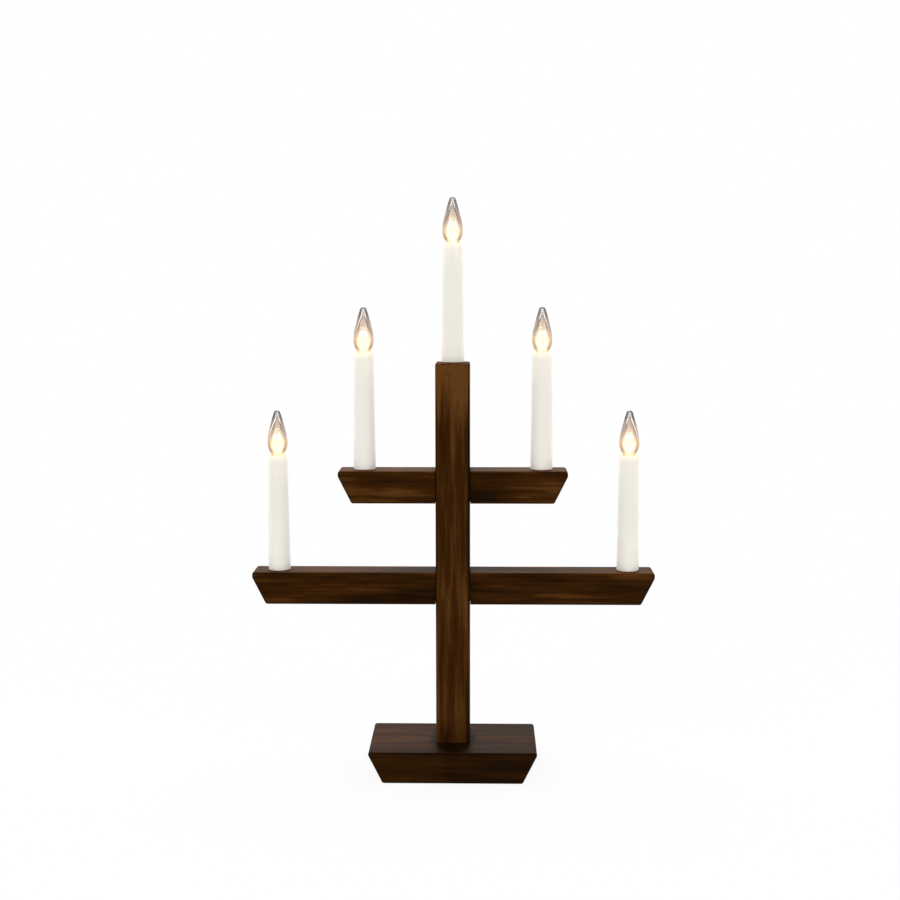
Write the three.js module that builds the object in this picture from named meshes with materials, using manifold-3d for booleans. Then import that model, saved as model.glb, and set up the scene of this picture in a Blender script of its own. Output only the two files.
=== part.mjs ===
// Advent candle holder: a stained wooden post with two cross arms on a wedge-ended base block.
// It carries five plastic candles, each with a small screw-in lamp, wired in series.
// Millimetres, +Z up, origin under the middle of the base. The front faces -Y.

import * as THREE from 'three';
import { mergeVertices } from 'three/addons/utils/BufferGeometryUtils.js';
import Module from 'manifold-3d';

const wasm = await Module();
wasm.setup();

// Wooden stand
const BASE_LENGTH = 131.2;
const BASE_DEPTH = 72.2;
const BASE_HEIGHT = 24.3;
const POST_WIDTH = 26.2;
const POST_DEPTH = 26.2;
const POST_TOP = 319;
const LOWER_ARM_LENGTH = 308.4;
const UPPER_ARM_LENGTH = 174.8;
const LOWER_ARM_TOP = 158.8;
const UPPER_ARM_TOP = 237.2;
const ARM_HEIGHT = 25;
const ARM_SET_BACK = 0.8;
const END_SLANT = THREE.MathUtils.degToRad(26.5);
const ARM_END_FLAT = 4.4;
const CORNER_RADIUS = 2;
const EDGE_ROUND = 1.6;
const CANDLE_INSET = 19.8;

// Wire channels in the back of the wood
const CHANNEL_WIDTH = 7;
const CHANNEL_DEPTH = 7;
const STRIP_WIDTH = 10;
const STRIP_THICKNESS = 2.6;
const CHANNEL_OVERRUN = 6;
const WIRE_HOLE = 9;
const WIRE_DIAMETER = 1.8;
const WIRE_SPACING = 3;
const WIRE_BEND = 3.3;

// Cord inlet at the foot of the post
const INLET_HEIGHT = 10;
const INLET_DEPTH = 9.5;
const GROMMET_DIAMETER = 9.4;
const GROMMET_LENGTH = 5.5;
const GROMMET_BORE = 6.4;
const FLANGE_DIAMETER = 13;
const FLANGE_THICKNESS = 1.6;

// Screws that hold the post on the base
const SCREW_SPACING = 16;
const SCREW_DIAMETER = 3.8;
const SCREW_LENGTH = 42;
const SCREW_HEAD = 7.6;
const SCREW_RECESS = 2;
const SCREW_CONE = (SCREW_HEAD - SCREW_DIAMETER) / 2;

// Plastic candles
const SLEEVE_LENGTH = 89;
const SLEEVE_FOOT = 17;
const SLEEVE_TOP = 15.3;
const SLEEVE_WALL = 1;
const SLEEVE_FLOOR = 2;
const SPIGOT_DIAMETER = 10;
const SPIGOT_LENGTH = 7;
const SPIGOT_BORE = 6;

// Lamp holders inside the candles
const HOLDER_RECESS = 1;
const HOLDER_DIAMETER = 12.6;
const HOLDER_WALL = 0.8;
const HOLDER_LENGTH = 18;
const HOLDER_FLOOR = 4.8;
const SHELL_WALL = 0.3;
const SHELL_TAB_WIDTH = 2;
const TAB_REACH = 3;
const WIRE_POCKET_SPACING = 5.2;
const WIRE_POCKET_DEPTH = 2.6;
const CONTACT_DISC = 5.2;
const CONTACT_THICKNESS = 0.5;
const CONTACT_PIN = 1.5;

// Lamps, with a cap of the 10 mm screw kind
const CAP_DIAMETER = 9.4;
const CAP_WALL = 0.3;
const CAP_LENGTH = 8.2;
const CAP_CONE = 1.6;
const CAP_CONE_END = 5.4;
const CAP_BELOW_RIM = 2.3;
const CAP_HOLE = 3;
const BUTTON_DIAMETER = 4.2;
const BUTTON_FLAT = 3;
const BUTTON_HEIGHT = 0.9;
const BUTTON_SHANK = 2.3;
const BULB_DIAMETER = 15.4;
const BULB_HEIGHT = 34.2;
const BELLY_HEIGHT = 9;
const RIM_WAIST = 9.2;
const WAIST_FLARE = 0.6;
const FLAME_SHOULDER = 5;
const FLAME_TAPER_DIAMETER = 10.8;
const FLAME_TAPER_LENGTH = 9;
const NIB_DIAMETER = 4.9;
const NIB_HEIGHT = 1.6;
const NECK_DIAMETER = 8.2;
const NECK_LENGTH = 6;
const GLASS_WALL = 0.6;
const STEM_FLARE = 6.2;
const STEM_HEIGHT = 6;
const FILAMENT_HEIGHT = 16;
const FILAMENT_SPREAD = 5.2;
const FILAMENT_FOOT = 2;
const FILAMENT_WIRE = 0.6;
const LEAD_DEPTH = 1.5;

// Clearances
const JOINT_GAP = 0.3;
const THREAD_GAP = 0.2;
const CUT_MARGIN = 1;

// Numbers of facets
const ROUND_FACETS = 16;
const GLASS_FACETS = 14;
const SMALL_FACETS = 12;
const TINY_FACETS = 8;
const WIRE_FACETS = 6;
const EDGE_STEPS = 3;
const CORNER_STEPS = 2;
const BEND_STEP = THREE.MathUtils.degToRad(46);

// Places worked out from the sizes
const BACK = POST_DEPTH / 2;
const CHANNEL_FLOOR = BACK - CHANNEL_DEPTH;
const STRIP_SEAT = BACK - STRIP_THICKNESS - JOINT_GAP;
const LAP_FACE = 0;
const ARM_DEPTH = POST_DEPTH - ARM_SET_BACK;
const POST_FOOT = BASE_HEIGHT + JOINT_GAP;
const INLET_CENTRE = POST_FOOT + INLET_HEIGHT;
const HOLDER_RADIUS = HOLDER_DIAMETER / 2;
const HOLDER_BORE = HOLDER_RADIUS - HOLDER_WALL;
const SHELL_BORE = CAP_DIAMETER / 2 + THREAD_GAP;

function finish(color, roughness, metalness, opacity = 1) {
  return () => new THREE.MeshStandardMaterial({
    color, roughness, metalness, opacity, transparent: opacity < 1,
  });
}

const stainedWood = finish(0x442611, 0.5, 0);
const stripWood = finish(0x3a210f, 0.6, 0);
const candlePlastic = finish(0xece8dc, 0.4, 0);
const holderPlastic = finish(0xe4e0d4, 0.5, 0);
const brass = finish(0xb8924a, 0.3, 1);
const solder = finish(0xb4b4b0, 0.35, 1);
const steel = finish(0x9a9a98, 0.35, 1);
const lampGlass = finish(0xf2ead8, 0.05, 0, 0.4);
const lampStem = finish(0xc9b489, 0.3, 0.3);
const wireCover = finish(0x3b2a1c, 0.5, 0);
const grommetRubber = finish(0x241a12, 0.7, 0);

// Joins vertices that share a place, and drops the triangles that this makes empty.
function weld(geometry) {
  const bare = geometry.index ? geometry.toNonIndexed() : geometry.clone();
  bare.deleteAttribute('normal');
  bare.deleteAttribute('uv');
  bare.clearGroups();
  const welded = mergeVertices(bare, 1e-4);
  const kept = [];
  const index = welded.index.array;
  for (let i = 0; i < index.length; i += 3) {
    const [a, b, c] = [index[i], index[i + 1], index[i + 2]];
    if (a !== b && b !== c && c !== a) kept.push(a, b, c);
  }
  welded.setIndex(kept);
  return welded;
}

function toSolid(geometry) {
  const welded = weld(geometry);
  return new wasm.Manifold(new wasm.Mesh({
    numProp: 3,
    vertProperties: new Float32Array(welded.attributes.position.array),
    triVerts: new Uint32Array(welded.index.array),
  }));
}

function toGeometry(solid) {
  const mesh = solid.getMesh();
  const geometry = new THREE.BufferGeometry();
  geometry.setAttribute('position', new THREE.BufferAttribute(mesh.vertProperties, 3));
  geometry.setIndex(Array.from(mesh.triVerts));
  return geometry;
}

function join(...geometries) {
  return toGeometry(geometries.map(toSolid).reduce((whole, piece) => whole.add(piece)));
}

function cut(geometry, tools) {
  return toGeometry(tools.map(toSolid).reduce((rest, tool) => rest.subtract(tool), toSolid(geometry)));
}

function box(x0, x1, y0, y1, z0, z1) {
  return new THREE.BoxGeometry(x1 - x0, y1 - y0, z1 - z0)
    .translate((x0 + x1) / 2, (y0 + y1) / 2, (z0 + z1) / 2);
}

// Turns a profile of [radius, height] pairs about Z.
function turned(profile, facets = ROUND_FACETS) {
  const points = profile.map(([radius, height]) => new THREE.Vector2(radius, height));
  return new THREE.LatheGeometry(points, facets).rotateX(Math.PI / 2);
}

function upright(radius, z0, z1, facets = ROUND_FACETS, x = 0) {
  return turned([[0, z0], [radius, z0], [radius, z1], [0, z1]], facets).translate(x, 0, 0);
}

// A round bar along Y, from the near end to the far end.
function throughBar(radius, y0, y1, x, z, facets = ROUND_FACETS) {
  return upright(radius, -y1, -y0, facets).rotateX(Math.PI / 2).translate(x, 0, z);
}

// A closed outline through the corners, given anticlockwise, each rounded to the radius.
function roundedOutline(corners, radius) {
  const shape = new THREE.Shape();
  corners.forEach((corner, i) => {
    const before = corners[(i + corners.length - 1) % corners.length];
    const after = corners[(i + 1) % corners.length];
    const back = before.clone().sub(corner).normalize();
    const on = after.clone().sub(corner).normalize();
    const halfAngle = Math.acos(back.dot(on)) / 2;
    const middle = back.clone().add(on).normalize();
    const centre = corner.clone().addScaledVector(middle, radius / Math.sin(halfAngle));
    const reach = radius / Math.tan(halfAngle);
    const start = corner.clone().addScaledVector(back, reach).sub(centre).angle();
    const end = corner.clone().addScaledVector(on, reach).sub(centre).angle();
    shape.absarc(centre.x, centre.y, radius, start, end, false);
  });
  shape.closePath();
  return shape;
}

// A planed bar: the outline run out along Z, with its end edges rounded over.
function planedBar(outline, length) {
  return new THREE.ExtrudeGeometry(outline, {
    depth: length - 2 * EDGE_ROUND,
    bevelThickness: EDGE_ROUND,
    bevelSize: EDGE_ROUND,
    bevelOffset: -EDGE_ROUND,
    bevelSegments: EDGE_STEPS,
    curveSegments: CORNER_STEPS,
  }).translate(0, 0, EDGE_ROUND);
}

// A bar along X whose ends slant in towards its underside, from its front plane back.
// The ends can stay upright for a short way under the top face, where their sharp tips are planed off.
function wedgeEndedBar(length, height, top, front, depth, endFlat = 0) {
  const shift = (height - endFlat) * Math.tan(END_SLANT);
  const rightEnd = [new THREE.Vector2(length / 2 - shift, top - height)];
  if (endFlat > 0) {
    rightEnd.push(new THREE.Vector2(length / 2, top - endFlat));
  }
  rightEnd.push(new THREE.Vector2(length / 2, top));
  const leftEnd = rightEnd.map(({ x, y }) => new THREE.Vector2(-x, y)).reverse();
  return planedBar(roundedOutline([...rightEnd, ...leftEnd], CORNER_RADIUS), depth)
    .rotateX(Math.PI / 2)
    .translate(0, front + depth, 0);
}

// A slot with round ends, routed in the back from one point to another in the XZ plane.
function routedSlot(from, to, width, y0, y1) {
  const run = to.clone().sub(from);
  const angle = run.angle();
  const shape = new THREE.Shape();
  shape.absarc(0, 0, width / 2, Math.PI / 2, 3 * Math.PI / 2, false);
  shape.absarc(run.length(), 0, width / 2, -Math.PI / 2, Math.PI / 2, false);
  shape.closePath();
  return new THREE.ExtrudeGeometry(shape, { depth: y1 - y0, bevelEnabled: false, curveSegments: 4 })
    .rotateZ(angle)
    .translate(from.x, from.y, 0)
    .rotateX(Math.PI / 2)
    .translate(0, y1, 0);
}

// The wire channel and the wider seat of its cover strip.
function channelCuts(from, to) {
  const behind = BACK + CUT_MARGIN;
  return [
    routedSlot(from, to, CHANNEL_WIDTH, CHANNEL_FLOOR, behind),
    routedSlot(from, to, STRIP_WIDTH + 2 * JOINT_GAP, STRIP_SEAT, behind),
  ];
}

// The hole for a candle's spigot, and the wire holes from its floor to the back channel.
function candleBore(x, top) {
  const channelCentre = top - ARM_HEIGHT / 2;
  const holeRadius = WIRE_HOLE / 2;
  const wireRadius = SPIGOT_BORE / 2 + JOINT_GAP;
  return [
    upright(SPIGOT_DIAMETER / 2 + JOINT_GAP, top - SPIGOT_LENGTH, top + CUT_MARGIN, ROUND_FACETS, x),
    upright(wireRadius, channelCentre - holeRadius, top - SPIGOT_LENGTH + CUT_MARGIN, SMALL_FACETS, x),
    throughBar(holeRadius, 0, CHANNEL_FLOOR + CUT_MARGIN, x, channelCentre, SMALL_FACETS),
  ];
}

const lowerArm = {
  name: 'lower', length: LOWER_ARM_LENGTH, top: LOWER_ARM_TOP,
  candleX: LOWER_ARM_LENGTH / 2 - CANDLE_INSET,
};
const upperArm = {
  name: 'upper', length: UPPER_ARM_LENGTH, top: UPPER_ARM_TOP,
  candleX: UPPER_ARM_LENGTH / 2 - CANDLE_INSET,
};
const arms = [lowerArm, upperArm];

function channelHeight(top) {
  return top - ARM_HEIGHT / 2;
}

function postChannelEnds() {
  return [new THREE.Vector2(0, INLET_CENTRE), new THREE.Vector2(0, channelHeight(POST_TOP))];
}

function armChannelEnds(arm) {
  const reach = arm.candleX + CHANNEL_OVERRUN - STRIP_WIDTH / 2;
  const height = channelHeight(arm.top);
  return [new THREE.Vector2(-reach, height), new THREE.Vector2(reach, height)];
}

function baseBlock() {
  const block = wedgeEndedBar(BASE_LENGTH, BASE_HEIGHT, BASE_HEIGHT, -BASE_DEPTH / 2, BASE_DEPTH);
  const holes = [-1, 1].flatMap((side) => {
    const x = side * SCREW_SPACING / 2;
    return [
      upright(SCREW_DIAMETER / 2 + JOINT_GAP, -CUT_MARGIN, BASE_HEIGHT + CUT_MARGIN, SMALL_FACETS, x),
      upright(SCREW_HEAD / 2 + JOINT_GAP, -CUT_MARGIN, SCREW_RECESS + SCREW_CONE, SMALL_FACETS, x),
    ];
  });
  return cut(block, holes);
}

function post() {
  const half = new THREE.Vector2(POST_WIDTH / 2, POST_DEPTH / 2);
  const corners = [[-1, -1], [1, -1], [1, 1], [-1, 1]]
    .map(([x, y]) => new THREE.Vector2(x, y).multiply(half));
  const below = POST_FOOT - 2 * EDGE_ROUND;
  const bar = planedBar(roundedOutline(corners, CORNER_RADIUS), POST_TOP - below).translate(0, 0, below);
  const sawnFoot = box(-POST_WIDTH, POST_WIDTH, -POST_DEPTH, POST_DEPTH, below - CUT_MARGIN, POST_FOOT);
  const laps = arms.map((arm) => box(
    -POST_WIDTH, POST_WIDTH, LAP_FACE, POST_DEPTH,
    arm.top - ARM_HEIGHT - JOINT_GAP, arm.top + JOINT_GAP,
  ));
  const pilots = [-1, 1].map((side) => upright(
    SCREW_DIAMETER / 2 + JOINT_GAP, BASE_HEIGHT - CUT_MARGIN, SCREW_RECESS + SCREW_LENGTH + JOINT_GAP,
    SMALL_FACETS, side * SCREW_SPACING / 2,
  ));
  const inlet = throughBar(
    GROMMET_DIAMETER / 2 + JOINT_GAP, BACK - INLET_DEPTH, BACK + CUT_MARGIN, 0, INLET_CENTRE,
  );
  return cut(bar, [
    sawnFoot, ...laps, ...pilots, inlet,
    ...channelCuts(...postChannelEnds()), ...candleBore(0, POST_TOP),
  ]);
}

function arm(spec) {
  const bar = wedgeEndedBar(spec.length, ARM_HEIGHT, spec.top, BACK - ARM_DEPTH, ARM_DEPTH, ARM_END_FLAT);
  const lap = box(
    -POST_WIDTH / 2 - JOINT_GAP, POST_WIDTH / 2 + JOINT_GAP, -POST_DEPTH, LAP_FACE + JOINT_GAP,
    spec.top - ARM_HEIGHT - CUT_MARGIN, spec.top + CUT_MARGIN,
  );
  return cut(bar, [
    lap,
    ...channelCuts(...armChannelEnds(spec)),
    ...channelCuts(...postChannelEnds()),
    ...candleBore(-spec.candleX, spec.top),
    ...candleBore(spec.candleX, spec.top),
  ]);
}

// The post's cover strip runs from above the grommet's flange to the top of the channel.
function postStrip() {
  const [foot, head] = postChannelEnds();
  const strip = routedSlot(foot, head, STRIP_WIDTH, BACK - STRIP_THICKNESS, BACK);
  const flangeRoom = throughBar(FLANGE_DIAMETER / 2 + JOINT_GAP, 0, BACK + CUT_MARGIN, 0, INLET_CENTRE);
  return cut(strip, [flangeRoom]);
}

// One arm's cover strip, on the side given as -1 or 1, from the post's strip outwards.
function armStrip(spec, side) {
  const [start, end] = armChannelEnds(spec);
  const strip = routedSlot(start, end, STRIP_WIDTH, BACK - STRIP_THICKNESS, BACK);
  const inner = side * (STRIP_WIDTH / 2 + JOINT_GAP);
  const far = -side * spec.length;
  const otherSide = box(
    Math.min(inner, far), Math.max(inner, far), 0, 2 * BACK, spec.top - ARM_HEIGHT, spec.top,
  );
  return cut(strip, [otherSide]);
}

function grommet() {
  const bore = GROMMET_BORE / 2;
  const body = GROMMET_DIAMETER / 2;
  const flange = FLANGE_DIAMETER / 2;
  const outer = JOINT_GAP + FLANGE_THICKNESS;
  const profile = [
    [bore, JOINT_GAP - GROMMET_LENGTH], [body, JOINT_GAP - GROMMET_LENGTH], [body, JOINT_GAP],
    [flange, JOINT_GAP], [flange, outer - FLANGE_THICKNESS / 2], [flange - FLANGE_THICKNESS / 2, outer],
    [bore, outer], [bore, JOINT_GAP - GROMMET_LENGTH],
  ];
  return turned(profile, SMALL_FACETS).rotateX(-Math.PI / 2).translate(0, BACK, INLET_CENTRE);
}

function postScrew() {
  const shank = SCREW_DIAMETER / 2;
  const head = SCREW_HEAD / 2;
  const start = SCREW_RECESS;
  const neck = start + SCREW_CONE;
  const end = start + SCREW_LENGTH;
  return turned([
    [0, start], [head, start], [shank, neck], [shank, end - SCREW_DIAMETER], [0, end],
  ], SMALL_FACETS);
}

// The candle's parts are drawn about its own axis, with the top of the wood at height zero.
const RIM = JOINT_GAP + SLEEVE_LENGTH;
const HOLDER_TOP = RIM - HOLDER_RECESS;
const HOLDER_FOOT = HOLDER_TOP - HOLDER_LENGTH;
const CUP_FLOOR = HOLDER_FOOT + HOLDER_FLOOR;
const DISC_TOP = CUP_FLOOR + JOINT_GAP + CONTACT_THICKNESS;
const CAP_TOP = RIM - CAP_BELOW_RIM;
const CAP_SHOULDER = CAP_TOP - CAP_LENGTH;
const CAP_FOOT = CAP_SHOULDER - CAP_CONE;
const BUTTON_TOP = CAP_FOOT - JOINT_GAP;

// A slightly tapered tube with a floor, and a bored spigot that sits in the wood.
function sleeve() {
  const foot = SLEEVE_FOOT / 2;
  const top = SLEEVE_TOP / 2;
  const bore = SPIGOT_BORE / 2;
  const spigot = SPIGOT_DIAMETER / 2;
  const end = JOINT_GAP - SPIGOT_LENGTH;
  const floor = JOINT_GAP + SLEEVE_FLOOR;
  const lip = SLEEVE_WALL / 3;
  return turned([
    [bore, end], [spigot, end], [spigot, JOINT_GAP], [foot, JOINT_GAP],
    [top, RIM - lip], [top - lip, RIM], [top - SLEEVE_WALL, RIM],
    [foot - SLEEVE_WALL, floor], [bore, floor], [bore, end],
  ]);
}

// A cup that holds the screw shell, over a floor with wire pockets and contact slots.
function lampHolder() {
  const cup = turned([
    [0, HOLDER_FOOT], [HOLDER_RADIUS, HOLDER_FOOT], [HOLDER_RADIUS, HOLDER_TOP],
    [HOLDER_BORE, HOLDER_TOP], [HOLDER_BORE, CUP_FLOOR], [0, CUP_FLOOR],
  ]);
  const pockets = [-1, 1].map((side) => upright(
    WIRE_DIAMETER / 2 + JOINT_GAP, HOLDER_FOOT - CUT_MARGIN, HOLDER_FOOT + WIRE_POCKET_DEPTH,
    TINY_FACETS, side * WIRE_POCKET_SPACING / 2,
  ));
  const pinHole = upright(
    CONTACT_PIN / 2 + JOINT_GAP, HOLDER_FOOT - CUT_MARGIN, CUP_FLOOR + CUT_MARGIN, TINY_FACETS,
  );
  return cut(cup, [...pockets, pinHole]);
}

// The brass sleeve that the cap screws into, with a tab bent in under it.
function socketShell() {
  const outer = SHELL_BORE + SHELL_WALL;
  const top = HOLDER_TOP - 2 * JOINT_GAP;
  const foot = CUP_FLOOR + JOINT_GAP;
  const tube = turned([
    [SHELL_BORE, foot], [outer, foot], [outer, top], [SHELL_BORE, top], [SHELL_BORE, foot],
  ]);
  const half = SHELL_TAB_WIDTH / 2;
  const inner = -outer + SHELL_WALL;
  const tab = box(inner, inner + TAB_REACH / 2, -half, half, foot, foot + SHELL_WALL);
  return join(tube, tab);
}

function centreContact() {
  const disc = CONTACT_DISC / 2;
  const pin = CONTACT_PIN / 2;
  const seat = CUP_FLOOR + JOINT_GAP;
  return turned([
    [0, HOLDER_FOOT + JOINT_GAP], [pin, HOLDER_FOOT + JOINT_GAP], [pin, seat], [disc, seat],
    [disc, DISC_TOP], [0, DISC_TOP],
  ], TINY_FACETS);
}

// The lamp's thin cap, closed by a cone with a hole for the contact button.
function lampCap() {
  const outer = CAP_DIAMETER / 2;
  const inner = outer - CAP_WALL;
  const coneEnd = CAP_CONE_END / 2;
  const hole = CAP_HOLE / 2;
  return turned([
    [hole, CAP_FOOT], [coneEnd, CAP_FOOT], [outer, CAP_SHOULDER], [outer, CAP_TOP], [inner, CAP_TOP],
    [inner, CAP_SHOULDER + CAP_WALL], [hole, CAP_FOOT + 2 * CAP_WALL], [hole, CAP_FOOT],
  ], SMALL_FACETS);
}

function contactButton() {
  const head = BUTTON_DIAMETER / 2;
  const flat = BUTTON_FLAT / 2;
  const shank = BUTTON_SHANK / 2;
  const foot = BUTTON_TOP - BUTTON_HEIGHT;
  return turned([
    [0, foot], [flat, foot], [head, foot + BUTTON_HEIGHT / 2], [head, BUTTON_TOP],
    [shank, BUTTON_TOP], [shank, CAP_FOOT + 2 * CAP_WALL], [0, CAP_FOOT + 2 * CAP_WALL],
  ], TINY_FACETS);
}

// Half of the lamp's outline: straight neck, round belly, and a flame that ends in a nib.
function flamePoints(wall, steps) {
  const belly = BULB_DIAMETER / 2 - wall;
  const waist = RIM_WAIST / 2 - wall;
  const neck = NECK_DIAMETER / 2 - wall;
  const taper = FLAME_TAPER_DIAMETER / 2 - wall;
  const nib = NIB_DIAMETER / 2 - wall;
  const tip = BULB_HEIGHT - wall;
  const nibStart = BULB_HEIGHT - NIB_HEIGHT;
  const at = (radius, height) => new THREE.Vector2(radius, RIM + height);
  const swell = new THREE.CubicBezierCurve(
    at(waist, 0), at(waist + WAIST_FLARE / 2, WAIST_FLARE * 2), at(belly, BELLY_HEIGHT - FLAME_SHOULDER),
    at(belly, BELLY_HEIGHT),
  );
  const flame = new THREE.CubicBezierCurve(
    at(belly, BELLY_HEIGHT), at(belly, BELLY_HEIGHT + FLAME_SHOULDER),
    at(taper, nibStart - FLAME_TAPER_LENGTH), at(nib, nibStart),
  );
  const nose = new THREE.CubicBezierCurve(
    at(nib, nibStart), at(nib, (nibStart + tip) / 2), at(nib / 2, tip), at(0, tip),
  );
  return [
    at(neck, CAP_TOP - RIM - NECK_LENGTH + JOINT_GAP), at(neck, CAP_TOP - RIM),
    ...swell.getPoints(steps), ...flame.getPoints(steps + 2).slice(1), ...nose.getPoints(2).slice(1),
  ].map((point) => [point.x, point.y]);
}

// The blown glass is open at the foot of its neck, where the stem goes in.
function bulbGlass() {
  const outside = flamePoints(0, 3);
  const inside = flamePoints(GLASS_WALL, 2);
  return turned([...outside, ...inside.reverse(), outside[0]], GLASS_FACETS);
}

class PointRoute extends THREE.Curve {
  constructor(points) {
    super();
    this.points = points;
  }

  getPoint(t) {
    const place = t * (this.points.length - 1);
    const i = Math.min(Math.floor(place), this.points.length - 2);
    return this.points[i].clone().lerp(this.points[i + 1], place - i);
  }

  getPointAt(t) {
    return this.getPoint(t);
  }

  getTangentAt(t) {
    return this.getTangent(t);
  }
}

// The corner points of a route, with each corner turned into an arc.
function bentRoute(corners, bend) {
  const points = [corners[0]];
  for (let i = 1; i < corners.length - 1; i += 1) {
    const corner = corners[i];
    const back = corners[i - 1].clone().sub(corner).normalize();
    const on = corners[i + 1].clone().sub(corner).normalize();
    const opening = back.angleTo(on);
    const reach = bend / Math.tan(opening / 2);
    const middle = back.clone().add(on).normalize();
    const centre = corner.clone().addScaledVector(middle, bend / Math.sin(opening / 2));
    const first = corner.clone().addScaledVector(back, reach).sub(centre);
    const last = corner.clone().addScaledVector(on, reach).sub(centre);
    const turn = Math.PI - opening;
    const steps = Math.ceil(turn / BEND_STEP);
    for (let step = 0; step <= steps; step += 1) {
      const share = step / steps;
      const spoke = first.clone().multiplyScalar(Math.sin((1 - share) * turn) / Math.sin(turn))
        .addScaledVector(last, Math.sin(share * turn) / Math.sin(turn));
      points.push(centre.clone().add(spoke));
    }
  }
  points.push(corners[corners.length - 1]);
  return points;
}

function tubeAlong(points, diameter, facets) {
  const section = new THREE.Shape();
  for (let i = 0; i < facets; i += 1) {
    const angle = 2 * Math.PI * i / facets;
    const x = diameter / 2 * Math.cos(angle);
    const y = diameter / 2 * Math.sin(angle);
    if (i === 0) section.moveTo(x, y);
    else section.lineTo(x, y);
  }
  section.closePath();
  return new THREE.ExtrudeGeometry(section, {
    steps: points.length - 1, bevelEnabled: false, extrudePath: new PointRoute(points),
  });
}

// The glass stem with two lead wires and the filament bowed between them.
function filament() {
  const flare = STEM_FLARE / 2;
  const foot = CAP_TOP - NECK_LENGTH + 2 * JOINT_GAP;
  const pinch = RIM + STEM_HEIGHT;
  const stem = turned([
    [0, foot], [flare, foot], [flare / 2, RIM - FILAMENT_WIRE], [FILAMENT_WIRE * 1.5, pinch - FILAMENT_WIRE],
    [FILAMENT_WIRE, pinch], [0, pinch],
  ], TINY_FACETS);
  const spread = FILAMENT_SPREAD / 2;
  const top = RIM + FILAMENT_HEIGHT;
  const loop = [
    new THREE.Vector3(-FILAMENT_WIRE / 2, 0, pinch - LEAD_DEPTH),
    new THREE.Vector3(-spread, 0, pinch + FILAMENT_FOOT),
    new THREE.Vector3(-spread, 0, top - spread),
    new THREE.Vector3(0, 0, top),
    new THREE.Vector3(spread, 0, top - spread),
    new THREE.Vector3(spread, 0, pinch + FILAMENT_FOOT),
    new THREE.Vector3(FILAMENT_WIRE / 2, 0, pinch - LEAD_DEPTH),
  ];
  return join(stem, tubeAlong(loop, FILAMENT_WIRE, WIRE_FACETS));
}

// The places that every wire keeps to.
const WIRE_RADIUS = WIRE_DIAMETER / 2;
const LANE = WIRE_SPACING / 2;
const WIRE_Y = CHANNEL_FLOOR + JOINT_GAP + WIRE_RADIUS;
const POCKET_X = WIRE_POCKET_SPACING / 2;

// Corner points from a candle's channel up to its lamp holder. Side is -1 or 1 across the candle.
function riser(x, top, side, lane) {
  const level = channelHeight(top) + lane;
  const wireEnd = top + HOLDER_FOOT + WIRE_POCKET_DEPTH - JOINT_GAP;
  const spreadStart = top + SLEEVE_FLOOR + 2 * WIRE_BEND;
  const spreadEnd = top + HOLDER_FOOT - 2 * WIRE_BEND;
  return [
    new THREE.Vector3(x + side * LANE, WIRE_Y, level),
    new THREE.Vector3(x + side * LANE, 0, level),
    new THREE.Vector3(x + side * LANE, 0, spreadStart),
    new THREE.Vector3(x + side * POCKET_X, 0, spreadEnd),
    new THREE.Vector3(x + side * POCKET_X, 0, wireEnd),
  ];
}

// Wires for one side of the stand, -1 for the left and 1 for the right.
function sideWires(side) {
  const postLane = side * LANE;
  const lowerX = side * lowerArm.candleX;
  const upperX = side * upperArm.candleX;
  const lowerLevel = channelHeight(lowerArm.top);
  const upperLevel = channelHeight(upperArm.top);
  const postPoint = (height) => new THREE.Vector3(postLane, WIRE_Y, height);
  const feedStart = INLET_CENTRE + GROMMET_DIAMETER / 2 + 2 * JOINT_GAP;
  const feed = [
    postPoint(feedStart), postPoint(lowerLevel - LANE), ...riser(lowerX, lowerArm.top, side, -LANE),
  ];
  const link = [
    ...riser(lowerX, lowerArm.top, -side, LANE).reverse(), postPoint(lowerLevel + LANE),
    postPoint(upperLevel - LANE), ...riser(upperX, upperArm.top, side, -LANE),
  ];
  const topRiser = riser(0, POST_TOP, side, 0);
  const crown = [
    ...riser(upperX, upperArm.top, -side, LANE).reverse(), postPoint(upperLevel + LANE), ...topRiser,
  ];
  return { feed, link, crown };
}

function wire(corners) {
  return tubeAlong(bentRoute(corners, WIRE_BEND), WIRE_DIAMETER, WIRE_FACETS);
}

const holder = new THREE.Group();

function addPiece(group, name, geometry, material) {
  const shaped = weld(geometry);
  shaped.computeVertexNormals();
  const mesh = new THREE.Mesh(shaped, material());
  mesh.name = name;
  group.add(mesh);
  return mesh;
}

addPiece(holder, 'base_block', baseBlock(), stainedWood);
addPiece(holder, 'post', post(), stainedWood);
addPiece(holder, 'lower_arm', arm(lowerArm), stainedWood);
addPiece(holder, 'upper_arm', arm(upperArm), stainedWood);
addPiece(holder, 'post_cover_strip', postStrip(), stripWood);
addPiece(holder, 'cord_grommet', grommet(), grommetRubber);

const sides = [['left', -1], ['right', 1]];
for (const [sideName, side] of sides) {
  for (const spec of arms) {
    addPiece(holder, `${spec.name}_${sideName}_cover_strip`, armStrip(spec, side), stripWood);
  }
  const screw = addPiece(holder, `post_screw_${sideName}`, postScrew(), steel);
  screw.position.x = side * SCREW_SPACING / 2;
  const { feed, link, crown } = sideWires(side);
  addPiece(holder, `feed_wire_${sideName}`, wire(feed), wireCover);
  addPiece(holder, `link_wire_${sideName}`, wire(link), wireCover);
  addPiece(holder, `crown_wire_${sideName}`, wire(crown), wireCover);
}

const candleParts = [
  ['sleeve', sleeve(), candlePlastic],
  ['lamp_holder', lampHolder(), holderPlastic],
  ['socket_shell', socketShell(), brass],
  ['centre_contact', centreContact(), brass],
  ['lamp_button', contactButton(), solder],
  ['lamp_cap', lampCap(), brass],
  ['lamp_glass', bulbGlass(), lampGlass],
  ['lamp_filament', filament(), lampStem],
];

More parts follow.
